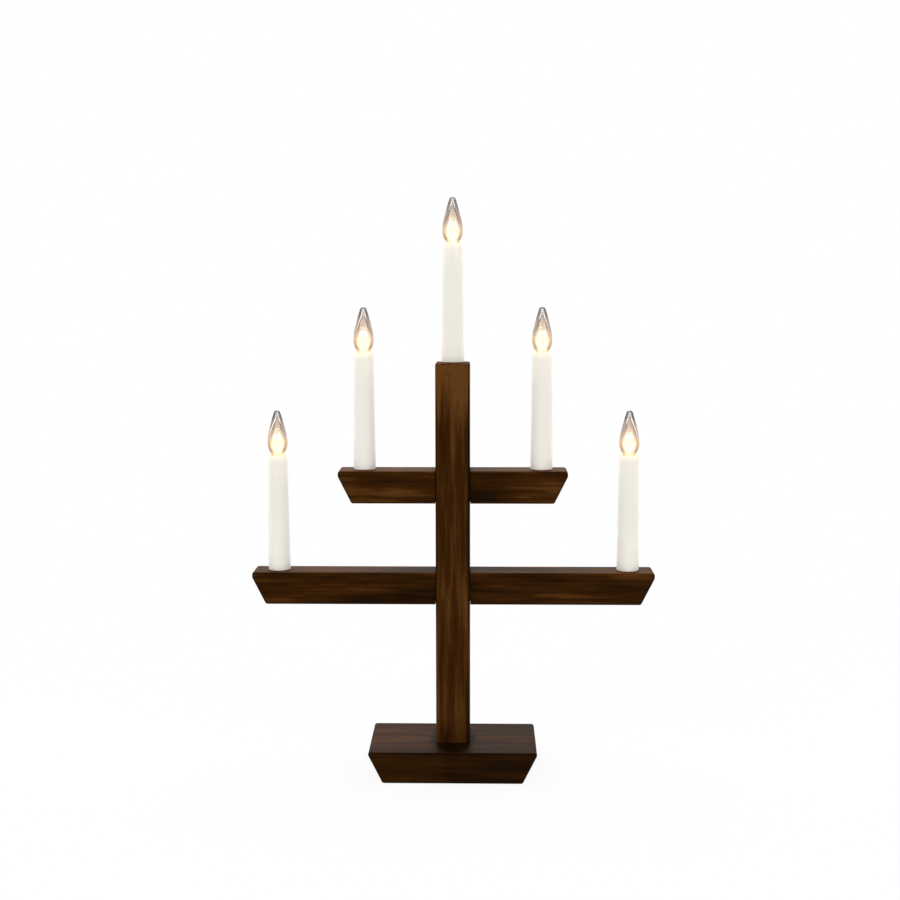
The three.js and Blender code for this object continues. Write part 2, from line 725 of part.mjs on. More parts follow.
const candles = [
  ['lower_left', -lowerArm.candleX, lowerArm.top],
  ['upper_left', -upperArm.candleX, upperArm.top],
  ['top', 0, POST_TOP],
  ['upper_right', upperArm.candleX, upperArm.top],
  ['lower_right', lowerArm.candleX, lowerArm.top],
];

for (const [name, x, height] of candles) {
  const candle = new THREE.Group();
  candle.position.set(x, 0, height);
  for (const [part, geometry, material] of candleParts) {
    addPiece(candle, `${name}_${part}`, geometry, material);
  }
  holder.add(candle);
}

export default holder;
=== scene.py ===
"""Advent candle holder: a stained wooden post with two arms and five small electric candles.

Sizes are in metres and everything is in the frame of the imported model.
"""

import math

import bmesh
import bpy
from mathutils import Matrix, Vector, geometry


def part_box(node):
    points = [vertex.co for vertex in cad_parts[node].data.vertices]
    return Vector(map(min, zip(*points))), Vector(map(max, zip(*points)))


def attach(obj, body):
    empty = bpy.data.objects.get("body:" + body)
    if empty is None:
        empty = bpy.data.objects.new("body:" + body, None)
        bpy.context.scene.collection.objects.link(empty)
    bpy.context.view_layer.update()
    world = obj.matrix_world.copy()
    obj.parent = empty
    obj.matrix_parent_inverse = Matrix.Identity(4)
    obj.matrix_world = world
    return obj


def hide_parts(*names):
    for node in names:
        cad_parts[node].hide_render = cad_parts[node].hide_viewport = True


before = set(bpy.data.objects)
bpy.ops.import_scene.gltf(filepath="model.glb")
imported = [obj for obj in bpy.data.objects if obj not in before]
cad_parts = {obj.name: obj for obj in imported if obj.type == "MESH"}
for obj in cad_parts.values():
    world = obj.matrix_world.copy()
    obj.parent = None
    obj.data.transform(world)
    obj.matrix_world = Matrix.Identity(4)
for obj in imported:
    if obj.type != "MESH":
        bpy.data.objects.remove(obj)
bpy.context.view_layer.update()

MM = 0.001

# Camera, as fitted to the edges of the wood in the photograph
CAMERA_PLACE = Vector((0.02186, -1.0541, 0.3870))
CAMERA_PITCH = math.radians(7.298)
CAMERA_YAW = math.radians(-1.309)
CAMERA_ROLL = math.radians(-0.107)
LENS = 55.62
SENSOR = 36.0
NEAREST_SEEN = 0.01
FARTHEST_SEEN = 50.0

# The room's levels, and how far back a reflection points where its front ends and its back starts
FILL_LEVEL = 0.62
FRONT_LEVEL = 0.2
BACK_LEVEL = 0.85
FRONT_END = -0.5
BACK_START = 0.1

# Studio lamps, which all point at one place on the object
LIT_PLACE = Vector((0.0, 0.0, 0.2))
KEY_POWER = 6.0
KEY_SIZE = 0.7
KEY_RIGHT_SHARE = 0.7
KEY_LEFT_PLACE = (-0.9, -1.1, 1.2)
KEY_RIGHT_PLACE = (1.0, -1.0, 1.0)
SIDE_POWER = 3.0
SIDE_SIZE = 0.8
SIDE_LEFT_PLACE = (-1.2, 0.5, 0.7)
SIDE_RIGHT_PLACE = (1.2, 0.5, 0.7)
TOP_POWER = 8.0
TOP_SIZE = 1.0
TOP_PLACE = (0.0, 0.3, 1.6)

# Floor
FLOOR_RADIUS = 7.0
FLOOR_SIDES = 96
FLOOR_FADE_START = 0.15
FLOOR_FADE_END = 0.9
FLOOR_WHITENESS = 0.91
FLOOR_GAP = 0.1 * MM
PAPER = (0.88, 0.88, 0.87, 1.0)

# Candle, measured down and out from the middle of its rim
SLEEVE_LENGTH = 89.0 * MM
SLEEVE_FOOT_RADIUS = 8.5 * MM
SLEEVE_TOP_RADIUS = 7.65 * MM
SLEEVE_WALL = 1.0 * MM
SLEEVE_FLOOR = 2.0 * MM
SLEEVE_EDGE = 0.35 * MM
SPIGOT_RADIUS = 5.0 * MM
SPIGOT_LENGTH = 7.0 * MM
SPIGOT_BORE = 3.0 * MM

# Lamp holder and socket
HOLDER_RECESS = 1.0 * MM
HOLDER_RADIUS = 6.3 * MM
HOLDER_WALL = 0.8 * MM
HOLDER_EDGE = 0.2 * MM
HOLDER_LENGTH = 18.0 * MM
HOLDER_FLOOR = 4.8 * MM
SHELL_WALL = 0.3 * MM
JOINT_GAP = 0.3 * MM

# Thread of the cap and the socket, with its rows of points a pitch and the pitches in which it runs out
THREAD_PITCH = 1.814 * MM
THREAD_DEPTH = 0.28 * MM
THREAD_GAP = 0.2 * MM
THREAD_ROWS = 8
THREAD_RUN_OUT = 0.4

# Screw cap of the lamp, with its contact button
CAP_RADIUS = 4.7 * MM
CAP_WALL = 0.3 * MM
CAP_BELOW_RIM = 2.3 * MM
CAP_LENGTH = 8.2 * MM
CAP_CONE = 1.6 * MM
CAP_CONE_RADIUS = 2.7 * MM
CAP_HOLE = 1.5 * MM
BUTTON_RADIUS = 2.1 * MM
BUTTON_HEIGHT = 0.9 * MM
BUTTON_FLAT = 1.47 * MM
BUTTON_SIDE = 0.36 * MM
BUTTON_SHANK = 1.15 * MM

# Lamp glass
BULB_RADIUS = 7.7 * MM
BULB_HEIGHT = 34.2 * MM
BELLY_HEIGHT = 9.0 * MM
WAIST_RADIUS = 4.6 * MM
WAIST_FLARE = 0.6 * MM
FLAME_SHOULDER = 5.0 * MM
FLAME_TAPER_RADIUS = 5.4 * MM
FLAME_TAPER_LENGTH = 9.0 * MM
NIB_RADIUS = 2.45 * MM
NIB_HEIGHT = 1.6 * MM
NECK_RADIUS = 4.1 * MM
NECK_LENGTH = 6.0 * MM
GLASS_WALL = 0.5 * MM
SOLID_TIP = 4.0 * MM
BORE_TIP_RADIUS = 0.8 * MM
BORE_TAPER_RADIUS = 4.5 * MM

# Glass stem, lead wires and filament, with heights above the rim
STEM_RADIUS = 3.1 * MM
STEM_FLARE_BEND = -3.85 * MM
STEM_ROD_BEND = -3.08 * MM
STEM_ROD_RADIUS = 1.0 * MM
STEM_HEIGHT = 6.0 * MM
STEM_HEAD_LENGTH = 2.0 * MM
STEM_HEAD_ROUNDING = 0.6 * MM
STEM_HEAD_FLAT = 0.7 * MM
LEAD_RADIUS = 0.2 * MM
LEAD_ROOT_SPREAD = 0.45 * MM
LEAD_ROOT_DEPTH = 1.2 * MM
LEAD_EXIT_SPREAD = 0.55 * MM
LEAD_EXIT_HEIGHT = 0.4 * MM
LEAD_LEAN = 0.3 * MM
LEAD_RISE = 1.5 * MM
LEAD_UPRIGHT = 3.0 * MM
LEAD_SPREAD = 2.4 * MM
FILAMENT_FOOT = 12.4 * MM
FILAMENT_TOP = 15.6 * MM
COIL_RADIUS = 0.35 * MM
COIL_TURNS = 16
COIL_WIRE = 0.09 * MM

# Grommet
GROMMET_RADIUS = 4.7 * MM
GROMMET_LENGTH = 5.5 * MM
GROMMET_BORE = 3.2 * MM
GROMMET_FULLNESS = 0.6
FLANGE_RADIUS = 6.5 * MM
FLANGE_THICKNESS = 1.6 * MM

# Wood screws. Each flank of their thread is a share of its pitch
SCREW_RADIUS = 1.9 * MM
SCREW_CORE_RADIUS = 1.33 * MM
SCREW_HEAD_RADIUS = 3.8 * MM
SCREW_HEAD_EDGE = 0.3 * MM
SCREW_PLAIN_LENGTH = 14.7 * MM
SCREW_TURNS = 14
FLANK_SHARE = 0.35
DRIVE_WIDTH = 1.2 * MM
DRIVE_REACH = 2.2 * MM
DRIVE_DEPTH = 1.6 * MM
DRIVE_TAPER = 0.5

# Steps round turned pieces, along the curves of their profiles and along wires
ROUND_STEPS = 64
SMALL_STEPS = 40
RIM_STEPS = 4
LIP_STEPS = 5
FLAME_STEPS = 12
STEM_FLARE_STEPS = 10
STEM_HEAD_STEPS = 8
BUTTON_STEPS = 8
LEAD_POINTS = 10
LEAD_ROUNDNESS = 3
COIL_TURN_STEPS = 12
COIL_ROUNDNESS = 2

# Points closer than this are joined: in turned shapes and wires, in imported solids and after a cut
WELD = 1e-7
SOLID_WELD = 1e-6
CUT_WELD = 5e-6

# Edges that turn by more than this stay sharp
SHARP_ANGLE = math.radians(40)
THREAD_SHARP_ANGLE = math.radians(70)
WOOD_SHARP_ANGLE = math.radians(62)
SCREW_SHARP_ANGLE = math.radians(30)

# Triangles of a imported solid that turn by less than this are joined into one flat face
FLAT_ANGLE = math.radians(0.3)

CANDLES = ("lower_left", "upper_left", "top", "upper_right", "lower_right")
ARM_HALVES = ("lower_left", "lower_right", "upper_left", "upper_right")
ALONG_X = Vector((1, 0, 0))
ALONG_Y = Vector((0, 1, 0))
ALONG_Z = Vector((0, 0, 1))


# Shader maths

class Socket:
    """A node's output, on which ordinary maths adds Math nodes."""

    def __init__(self, graph, socket):
        self.graph = graph
        self.socket = socket

    def maths(self, operation, *values):
        inputs = dict(enumerate(values))
        return self.graph.node("Math", inputs, operation=operation)

    def __add__(self, other):
        return self.maths("ADD", self, other)

    def __radd__(self, other):
        return self.maths("ADD", other, self)

    def __sub__(self, other):
        return self.maths("SUBTRACT", self, other)

    def __rsub__(self, other):
        return self.maths("SUBTRACT", other, self)

    def __mul__(self, other):
        return self.maths("MULTIPLY", self, other)

    def __rmul__(self, other):
        return self.maths("MULTIPLY", other, self)

    def __pow__(self, other):
        return self.maths("POWER", self, other)

    def sine(self):
        return self.maths("SINE", self)

    def rising(self, start, end):
        """0 below the start and 1 above the end, with a smooth step between them."""
        inputs = {"Value": self, "From Min": start, "From Max": end}
        return self.graph.node("MapRange", inputs, interpolation_type="SMOOTHSTEP")

    def between(self, first, last):
        """Turns a share from 0 to 1 into a number from first to last."""
        return first + self * (last - first)


class Graph:
    """The nodes of one material or world."""

    def __init__(self, owner):
        owner.use_nodes = True
        self.owner = owner
        self.tree = owner.node_tree
        self.tree.nodes.clear()

    def node(self, kind, inputs=None, output=0, stops=None, **settings):
        node = self.tree.nodes.new("ShaderNode" + kind)
        for setting, value in settings.items():
            setattr(node, setting, value)
        if stops is not None:
            self.set_stops(node.color_ramp, stops)
        for key, value in (inputs or {}).items():
            self.plug(node.inputs[key], value)
        return Socket(self, node.outputs[output])

    def plug(self, target, value):
        if isinstance(value, Socket):
            self.tree.links.new(value.socket, target)
        else:
            target.default_value = value

    def set_stops(self, ramp, stops):
        while len(ramp.elements) < len(stops):
            ramp.elements.new(1.0)
        for element, (position, colour) in zip(ramp.elements, stops):
            element.position = position
            element.color = (*colour, 1.0)

    def mix(self, share, first, second):
        """Mixes two colours."""
        first = first if isinstance(first, Socket) else (*first, 1.0)
        second = second if isinstance(second, Socket) else (*second, 1.0)
        return self.node("Mix", {"Factor": share, 6: first, 7: second}, output=2, data_type="RGBA")

    def scaled(self, vector, factors):
        """A vector with each of its parts multiplied."""
        return self.node("VectorMath", {0: vector, 1: factors}, operation="MULTIPLY")

    def length(self, vector):
        return self.node("VectorMath", {0: vector}, output="Value", operation="LENGTH")

    def marks(self, place, size, detail=2.0, roughness=0.5):
        """Noise whose marks are about this large, in millimetres along X, Y and Z."""
        scaled = self.scaled(place, tuple(1 / width for width in size))
        inputs = {"Vector": scaled, "Scale": 1.0, "Detail": detail, "Roughness": roughness}
        return self.node("TexNoise", inputs)

    def object_place(self):
        """Object coordinates in metres."""
        return self.node("TexCoord", output="Object")

    def pattern_place(self, turn=(0.0, 0.0, 0.0), shift=(0.0, 0.0, 0.0)):
        """Object coordinates in millimetres, turned and then shifted."""
        scale = (1 / MM, 1 / MM, 1 / MM)
        inputs = {"Vector": self.object_place(), "Location": shift, "Rotation": turn, "Scale": scale}
        return self.node("Mapping", inputs)

    def attribute(self, name):
        return self.node("Attribute", attribute_name=name, output="Fac")

    def bump(self, height, strength, distance):
        return self.node("Bump", {"Height": height, "Strength": strength, "Distance": distance})

    def principled(self, **inputs):
        named = {name.replace("_", " "): value for name, value in inputs.items()}
        return self.node("BsdfPrincipled", named)

    def finish(self, shader, kind="OutputMaterial"):
        output = self.tree.nodes.new("ShaderNode" + kind)
        self.tree.links.new(shader.socket, output.inputs["Surface"])
        return self.owner


def new_graph(name):
    return Graph(bpy.data.materials.new(name))


# Materials. The sizes of marks are in millimetres along X, Y and Z

BLACK = (0.0, 0.0, 0.0)
WHITE = (1.0, 1.0, 1.0, 1.0)

# Stained wood, whose grain runs along X before it is turned
GRAIN_ALONG_X = (0.0, 0.0, 0.0)
GRAIN_ALONG_Z = (0.0, math.pi / 2, 0.0)
WOOD_DARK = (0.0075, 0.0024, 0.0003)
WOOD_MIDDLE = (0.034, 0.0100, 0.0008)
WOOD_LIGHT = (0.105, 0.0400, 0.0085)
STAIN_STOPS = ((0.0, WOOD_DARK), (0.5, WOOD_MIDDLE), (1.0, WOOD_LIGHT))
STAIN_TINT = (1.0, 0.60, 0.30, 1.0)
STAIN_SHINE = 0.07
FIGURE_SIZE = (80.0, 9.0, 9.0)
STREAK_SIZE = (45.0, 3.5, 3.5)
LINE_SIZE = (150.0, 0.9, 0.9)
FIBRE_SIZE = (9.0, 0.3, 0.3)
PORE_SIZE = (6.0, 0.45, 0.45)
WAVER_SIZE = (90.0, 14.0, 14.0)
RING_SPACING = 3.6
RING_WAVER = 9.0
LATEWOOD_SHARPNESS = 3.0
END_GRAIN_START = 0.5
END_GRAIN_END = 0.95
PORE_START = 0.60
PORE_END = 0.70
PORE_DARKNESS = 0.5

# The stain's tone goes from 0, dark, to 1, light, and this is how much each thing changes it
NOISE_MEAN = 0.5
MIDDLE_TONE = 0.49
FIGURE_TONE = 1.8
STREAK_TONE = 1.0
LINE_TONE = 0.12
FIBRE_TONE = 0.2
LATEWOOD_TONE = 0.1
LATEWOOD_MEAN = 0.3
# Painted shade inside the rounded edges
EDGE_SHADE_TONE = 0.4
END_GRAIN_TONE = 0.2

# How rough the stained wood is, and what roughens it
WOOD_ROUGHNESS = 0.46
STREAK_ROUGHNESS = 0.18
PORE_ROUGHNESS = 0.2
END_GRAIN_ROUGHNESS = 0.12

# How much each kind of mark stands up or lies deep in the wood
FIBRE_RELIEF = 0.5
STREAK_RELIEF = 0.5
LATEWOOD_RELIEF = 0.4
PORE_RELIEF = -1.5

# Faces of the wood that are narrower than this belong to its rounded edges
ROUNDING_WIDTH = 2.2 * MM

# Painted shade round the post starts at its corners and reaches twice as far to the front as to the sides
POST_SHADE_START = 13.4 * MM
POST_SHADE_STRETCH = (1.0, 0.5, 0.0)


def growth_rings(graph, place):
    """Rings round the grain that waver along it: 0 between them, and 1 in the middle of late wood."""
    waver = graph.marks(place, WAVER_SIZE, detail=1.0)
    radius = graph.length(graph.scaled(place, (0.0, 1.0, 1.0))) + waver * RING_WAVER
    rings = (2 * math.pi / RING_SPACING * radius).sine() * 0.5 + 0.5
    return rings ** LATEWOOD_SHARPNESS


def stepped_tone_and_post_shade(graph, tone, tone_steps, joint):
    """A tone that changes along the piece in steps, some of them painted shade or sheen, and that has painted
    shade near the post.
    """
    place = graph.object_place()
    for axis, start, end, change in tone_steps:
        distance = graph.node("SeparateXYZ", {"Vector": place}, output=axis)
        tone = tone + distance.rising(start, end) * change
    # Painted shade round the post, where less light reaches
    if joint is not None:
        reach, change = joint
        from_post = graph.length(graph.scaled(place, POST_SHADE_STRETCH))
        tone = tone - (1.0 - from_post.rising(POST_SHADE_START, reach)) * change
    return tone


def stained_wood(name, grain_turn, shift, tone=0.0, contrast=1.0, tone_steps=(), joint=None):
    """Dark stain over straight grain: broad figure, streaks, growth rings, pores and darker end grain, with
    painted shade in the rounded edges and round the post.

    Each tone step is an axis, the places on it where a change of tone starts and ends, and the change.
    The post shade is how far from the post's middle the painted shade round it reaches, and how dark that is.
    """
    graph = new_graph(name)
    place = graph.pattern_place(grain_turn, shift)
    figure = graph.marks(place, FIGURE_SIZE, detail=3.0)
    streaks = graph.marks(place, STREAK_SIZE, detail=3.0, roughness=0.45)
    lines = graph.marks(place, LINE_SIZE)
    fibres = graph.marks(place, FIBRE_SIZE)
    pores = graph.marks(place, PORE_SIZE, detail=1.0).rising(PORE_START, PORE_END) * PORE_DARKNESS
    latewood = growth_rings(graph, place)
    end_grain = graph.attribute("end_grain").rising(END_GRAIN_START, END_GRAIN_END)
    grain = (
        (figure - NOISE_MEAN) * FIGURE_TONE + (streaks - NOISE_MEAN) * STREAK_TONE
        + (lines - NOISE_MEAN) * LINE_TONE + (fibres - NOISE_MEAN) * FIBRE_TONE
        + (latewood - LATEWOOD_MEAN) * LATEWOOD_TONE
    )
    # Painted shade inside the rounded edges darkens the tone
    edge_shade = graph.attribute("edge_shade") * EDGE_SHADE_TONE
    stain = MIDDLE_TONE + tone + grain * contrast - edge_shade - end_grain * END_GRAIN_TONE
    stain = stepped_tone_and_post_shade(graph, stain, tone_steps, joint)
    colour = graph.node("ValToRGB", {"Fac": stain}, stops=STAIN_STOPS)
    colour = graph.mix(pores, colour, WOOD_DARK)
    roughness = (
        WOOD_ROUGHNESS + (streaks - NOISE_MEAN) * STREAK_ROUGHNESS + pores * PORE_ROUGHNESS
        + end_grain * END_GRAIN_ROUGHNESS
    )
    relief = (
        fibres * FIBRE_RELIEF + streaks * STREAK_RELIEF + latewood * LATEWOOD_RELIEF + pores * PORE_RELIEF
    )
    normal = graph.bump(relief, strength=0.35, distance=0.12 * MM)
    return graph.finish(graph.principled(
        Base_Color=colour, Roughness=roughness, Normal=normal, Specular_IOR_Level=STAIN_SHINE,
        Specular_Tint=STAIN_TINT,
    ))


def painted_top_sheen(node, fade, change):
    """A tone step of painted sheen on a piece's top face, which starts a little below it, in the rounded
    edge.
    """
    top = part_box(node)[1].z
    return ("Z", top - fade, top, change)


# Plastics and rubber
SLEEVE_SHADES = ((0.84, 0.805, 0.72), (0.88, 0.845, 0.76))
SLEEVE_ROUGHNESS = (0.27, 0.33)
SLEEVE_CLOUD_SIZE = (14.0, 14.0, 30.0)
SLEEVE_SKIN_SIZE = (0.7, 0.7, 2.5)
# Painted glow of the lamp's light in the top of the sleeve
SLEEVE_GLOW = (0.26, 0.19, 0.12)
WIDE_GLOW_SHARE = 0.25
WIDE_GLOW_START = -30.0 * MM
RIM_GLOW_START = -5.0 * MM
RIM_GLOW_END = 0.5 * MM
HOLDER_SHADES = ((0.76, 0.73, 0.66), (0.84, 0.81, 0.74))
HOLDER_ROUGHNESS = (0.45, 0.55)
HOLDER_CLOUD_SIZE = (5.0, 5.0, 5.0)
WIRE_SHADES = ((0.018, 0.009, 0.004), (0.028, 0.015, 0.007))
WIRE_ROUGHNESS = (0.40, 0.55)
WIRE_CLOUD_SIZE = (2.0, 2.0, 2.0)
RUBBER_SHADES = ((0.010, 0.007, 0.005), (0.020, 0.014, 0.010))
RUBBER_ROUGHNESS = (0.60, 0.75)
RUBBER_GRAIN_SIZE = (0.4, 0.4, 0.4)


def candle_plastic(name):
    """Warm white moulded plastic, with the lamp's light through its rim painted on as a glow."""
    graph = new_graph(name)
    place = graph.pattern_place()
    height = graph.attribute("height")
    cloud = graph.marks(place, SLEEVE_CLOUD_SIZE)
    skin = graph.marks(place, SLEEVE_SKIN_SIZE)
    # Painted glow of the lamp's light, wide below the rim and strong at it
    wide_glow = height.rising(WIDE_GLOW_START, 0.0) * WIDE_GLOW_SHARE
    rim_glow = height.rising(RIM_GLOW_START, RIM_GLOW_END) * (1.0 - WIDE_GLOW_SHARE)
    painted_lamp_glow = graph.mix(wide_glow + rim_glow, BLACK, SLEEVE_GLOW)
    normal = graph.bump(skin, strength=0.06, distance=0.05 * MM)
    return graph.finish(graph.principled(
        Base_Color=graph.mix(cloud, *SLEEVE_SHADES), Roughness=skin.between(*SLEEVE_ROUGHNESS),
        Normal=normal, Sheen_Weight=1.0, Sheen_Roughness=0.5, IOR=1.6,
        Emission_Color=painted_lamp_glow, Emission_Strength=1.0,
    ))


def holder_plastic(name):
    graph = new_graph(name)
    cloud = graph.marks(graph.pattern_place(), HOLDER_CLOUD_SIZE, detail=3.0)
    normal = graph.bump(cloud, strength=0.2, distance=0.1 * MM)
    return graph.finish(graph.principled(
        Base_Color=graph.mix(cloud, *HOLDER_SHADES), Roughness=cloud.between(*HOLDER_ROUGHNESS),
        Normal=normal,
    ))


def wire_cover(name):
    graph = new_graph(name)
    cloud = graph.marks(graph.pattern_place(), WIRE_CLOUD_SIZE)
    return graph.finish(graph.principled(
        Base_Color=graph.mix(cloud, *WIRE_SHADES), Roughness=cloud.between(*WIRE_ROUGHNESS),
    ))


def moulded_rubber(name):
    graph = new_graph(name)
    grain = graph.marks(graph.pattern_place(), RUBBER_GRAIN_SIZE, detail=3.0)
    normal = graph.bump(grain, strength=0.25, distance=0.06 * MM)
    return graph.finish(graph.principled(
        Base_Color=graph.mix(grain, *RUBBER_SHADES), Roughness=grain.between(*RUBBER_ROUGHNESS),
        Normal=normal,
    ))


# Metals
BRASS_SHADES = ((0.72, 0.50, 0.22), (0.80, 0.60, 0.30))
SOLDER_SHADES = ((0.50, 0.50, 0.49), (0.62, 0.62, 0.60))
LEAD_SHADES = ((0.52, 0.50, 0.47), (0.64, 0.62, 0.58))
STEEL_SHADES = ((0.46, 0.46, 0.44), (0.58, 0.57, 0.52))
SCRATCH_SIZE = (2.0, 2.0, 0.08)
SCRATCH_ROUGHNESS = 0.14
TARNISH_SIZE = (3.0, 3.0, 3.0)
TARNISH_ROUGHNESS = 0.08


def drawn_metal(name, shades, polish):
    """Thin metal with fine scratches round it and a little tarnish. Its polish is its least roughness."""
    graph = new_graph(name)
    place = graph.pattern_place()
    scratches = graph.marks(place, SCRATCH_SIZE)
    tarnish = graph.marks(place, TARNISH_SIZE, detail=3.0)
    roughness = polish + scratches * SCRATCH_ROUGHNESS + tarnish * TARNISH_ROUGHNESS
    normal = graph.bump(scratches, strength=0.15, distance=0.02 * MM)
    return graph.finish(graph.principled(
        Base_Color=graph.mix(tarnish, *shades), Metallic=1.0, Roughness=roughness, Normal=normal,
    ))


# Glass of the lamp and its stem. The stops are colours along the lamp's height, from the rim to the tip.
# Their darker, greyer colours higher up are painted reflection of the surroundings
LAMP_EDGE = (
    (0.0, (1.0, 0.88, 0.66)), (0.10, (0.36, 0.24, 0.12)), (0.28, (0.68, 0.47, 0.27)),
    (0.50, (0.50, 0.34, 0.25)), (0.68, (0.30, 0.23, 0.19)), (1.0, (0.13, 0.115, 0.105)),
)
LAMP_MIDDLE = (
    (0.0, (1.0, 0.93, 0.78)), (0.30, (1.0, 0.95, 0.84)), (0.45, (0.99, 0.94, 0.83)),
    (0.62, (0.88, 0.78, 0.68)), (0.85, (0.82, 0.76, 0.71)),
)
STEM_EDGE = ((0.0, (0.90, 0.84, 0.70)), (0.3, (0.92, 0.80, 0.60)))
STEM_MIDDLE = ((0.0, (0.96, 0.94, 0.88)), (0.3, (0.98, 0.94, 0.86)))
LAMP_GLOW = (0.12, 0.10, 0.07)
LAMP_GLOW_END = 20.0 * MM
STEM_GLOW = (0.25, 0.18, 0.10)
STEM_GLOW_END = 9.0 * MM
GLOW_START = 3.0 * MM
GLASS_ROUGHNESS = 0.02
GLASS_IOR = 1.48

# A wall's tint starts where it has turned this far away, and is full at TINT_GROWTH times that and a spread.
# Both go from their first number to their second between two shares of the lamp's height.
TINT_START = (0.09, 0.03)
TINT_START_HEIGHTS = (0.3, 0.7)
TINT_GROWTH = 1.8
TINT_SPREAD = (0.28, 0.14)
TINT_SPREAD_HEIGHTS = (0.55, 0.85)


def clear_glass(name, edge_stops, middle_stops, glow_colour, glow_end):
    """Clear glass that lets lamp light out.

    Seen edge on, its walls tint what shows through them. Its tints, which darken and grey higher up, are
    painted reflection of the surroundings. Lamp light scatters in the lower part.
    """
    graph = new_graph(name)
    height = graph.attribute("height")
    along = graph.node("MapRange", {"Value": height, "From Min": 0.0, "From Max": BULB_HEIGHT})
    # Painted reflection of the surroundings, where these colours are dark or grey
    edge_glow_and_reflection = graph.node("ValToRGB", {"Fac": along}, stops=edge_stops)
    middle_glow_and_reflection = graph.node("ValToRGB", {"Fac": along}, stops=middle_stops)
    facing = graph.node("LayerWeight", {"Blend": 0.5}, output="Facing")
    edge_start = along.rising(*TINT_START_HEIGHTS).between(*TINT_START)
    edge_end = edge_start * TINT_GROWTH + along.rising(*TINT_SPREAD_HEIGHTS).between(*TINT_SPREAD)
    edge = facing.rising(edge_start, edge_end)
    colour = graph.mix(edge, middle_glow_and_reflection, edge_glow_and_reflection)
    glow = (1.0 - height.rising(GLOW_START, glow_end)) * (1.0 - edge)
    scattered = graph.mix(glow, BLACK, glow_colour)
    glass = graph.principled(
        Base_Color=colour, Roughness=GLASS_ROUGHNESS, IOR=GLASS_IOR, Transmission_Weight=1.0,
        Emission_Color=scattered, Emission_Strength=1.0,
    )
    shadow = graph.node("LightPath", output="Is Shadow Ray")
    clear = graph.node("BsdfTransparent")
    return graph.finish(graph.node("MixShader", {0: shadow, 1: glass, 2: clear}))


# Filament
COIL_METAL = (0.3, 0.26, 0.2, 1.0)
COIL_GLOWS = ((1.0, 0.55, 0.22), (1.0, 0.72, 0.40))
COIL_STRENGTH = 70.0


def glowing_wire(name):
    """A hot coil, a little cooler towards its ends."""
    graph = new_graph(name)
    heat = graph.attribute("height").rising(FILAMENT_FOOT, FILAMENT_TOP)
    return graph.finish(graph.principled(
        Base_Color=COIL_METAL, Roughness=0.5, Emission_Color=graph.mix(heat, *COIL_GLOWS),
        Emission_Strength=COIL_STRENGTH,
    ))


# The post is lighter above the base, darker above the arms, much lighter at its top, partly its own tone and
# partly painted light from above, and dark at its right, with painted shade of the rounded edge along its
# right edge
POST_WOOD = stained_wood(
    "post_wood", GRAIN_ALONG_Z, shift=(40.0, 19.0, 31.0), tone=0.14, contrast=0.8,
    tone_steps=(
        ("Z", 30 * MM, 60 * MM, 0.13),
        ("Z", 130 * MM, 170 * MM, -0.12),
        ("Z", 200 * MM, 240 * MM, -0.22),
        # Partly painted light from above
        ("Z", 253 * MM, 317 * MM, 0.87),
        ("X", -12 * MM, -2 * MM, -0.12),
        # Painted shade of the post's rounded right edge
        ("X", 9.5 * MM, 13 * MM, -0.20),
    ),
)

# The base is darker to the right and at the back of its top, and lightest in the middle of its top. Its
# lighter top is painted sheen, and painted shade darkens it round the post
BASE_WOOD = stained_wood(
    "base_wood", GRAIN_ALONG_X, shift=(90.0, 44.0, 27.0), tone=-0.25, contrast=0.65,
    tone_steps=(
        # Painted sheen on the top face
        painted_top_sheen("base_block", fade=1.8 * MM, change=0.22),
        ("X", -30 * MM, 30 * MM, -0.12),
        ("Y", -34 * MM, -14 * MM, 0.24),
        ("Y", -4 * MM, 16 * MM, -0.20),
    ),
    # Painted shade round the post's foot
    joint=(20.0 * MM, 0.5),
)

# The lower arm is darker from its left end to the post, and lighter again at its right end. Its lighter top
# is painted sheen, and painted shade darkens it by the post
LOWER_ARM_WOOD = stained_wood(
    "lower_arm_wood", GRAIN_ALONG_X, shift=(15.0, 61.0, -38.0), tone=0.01,
    tone_steps=(
        # Painted sheen on the top face
        painted_top_sheen("lower_arm", fade=2.0 * MM, change=0.45),
        ("X", -130 * MM, -20 * MM, -0.18),
        ("X", -10 * MM, 10 * MM, -0.08),
        ("X", 90 * MM, 140 * MM, 0.10),
    ),
    # Painted shade by the post
    joint=(22.0 * MM, 0.12),
)

# The upper arm is darkest just right of the post, a painted shadow of the post. Its lighter top is painted
# sheen, and painted shade darkens it by the post
UPPER_ARM_WOOD = stained_wood(
    "upper_arm_wood", GRAIN_ALONG_X, shift=(-130.0, 37.0, 12.0), tone=0.20, contrast=0.9,
    tone_steps=(
        # Painted sheen on the top face
        painted_top_sheen("upper_arm", fade=2.0 * MM, change=0.43),
        ("X", -80 * MM, -60 * MM, -0.12),
        # Painted shadow of the post just right of it, made by this step and the next
        ("X", -10 * MM, 10 * MM, -0.34),
        ("X", 15 * MM, 60 * MM, 0.36),
    ),
    # Painted shade by the post
    joint=(20.0 * MM, 0.06),
)
POST_STRIP_WOOD = stained_wood("post_strip_wood", GRAIN_ALONG_Z, shift=(7.0, 80.0, 55.0), tone=-0.04)
ARM_STRIP_WOOD = stained_wood("arm_strip_wood", GRAIN_ALONG_X, shift=(22.0, -70.0, 48.0), tone=-0.04)
SLEEVE_PLASTIC = candle_plastic("sleeve_plastic")
HOLDER_PLASTIC = holder_plastic("holder_plastic")
CAP_BRASS = drawn_metal("cap_brass", BRASS_SHADES, polish=0.22)
SOLDER = drawn_metal("solder", SOLDER_SHADES, polish=0.38)
LEAD_METAL = drawn_metal("lead_metal", LEAD_SHADES, polish=0.28)
SCREW_STEEL = drawn_metal("screw_steel", STEEL_SHADES, polish=0.30)
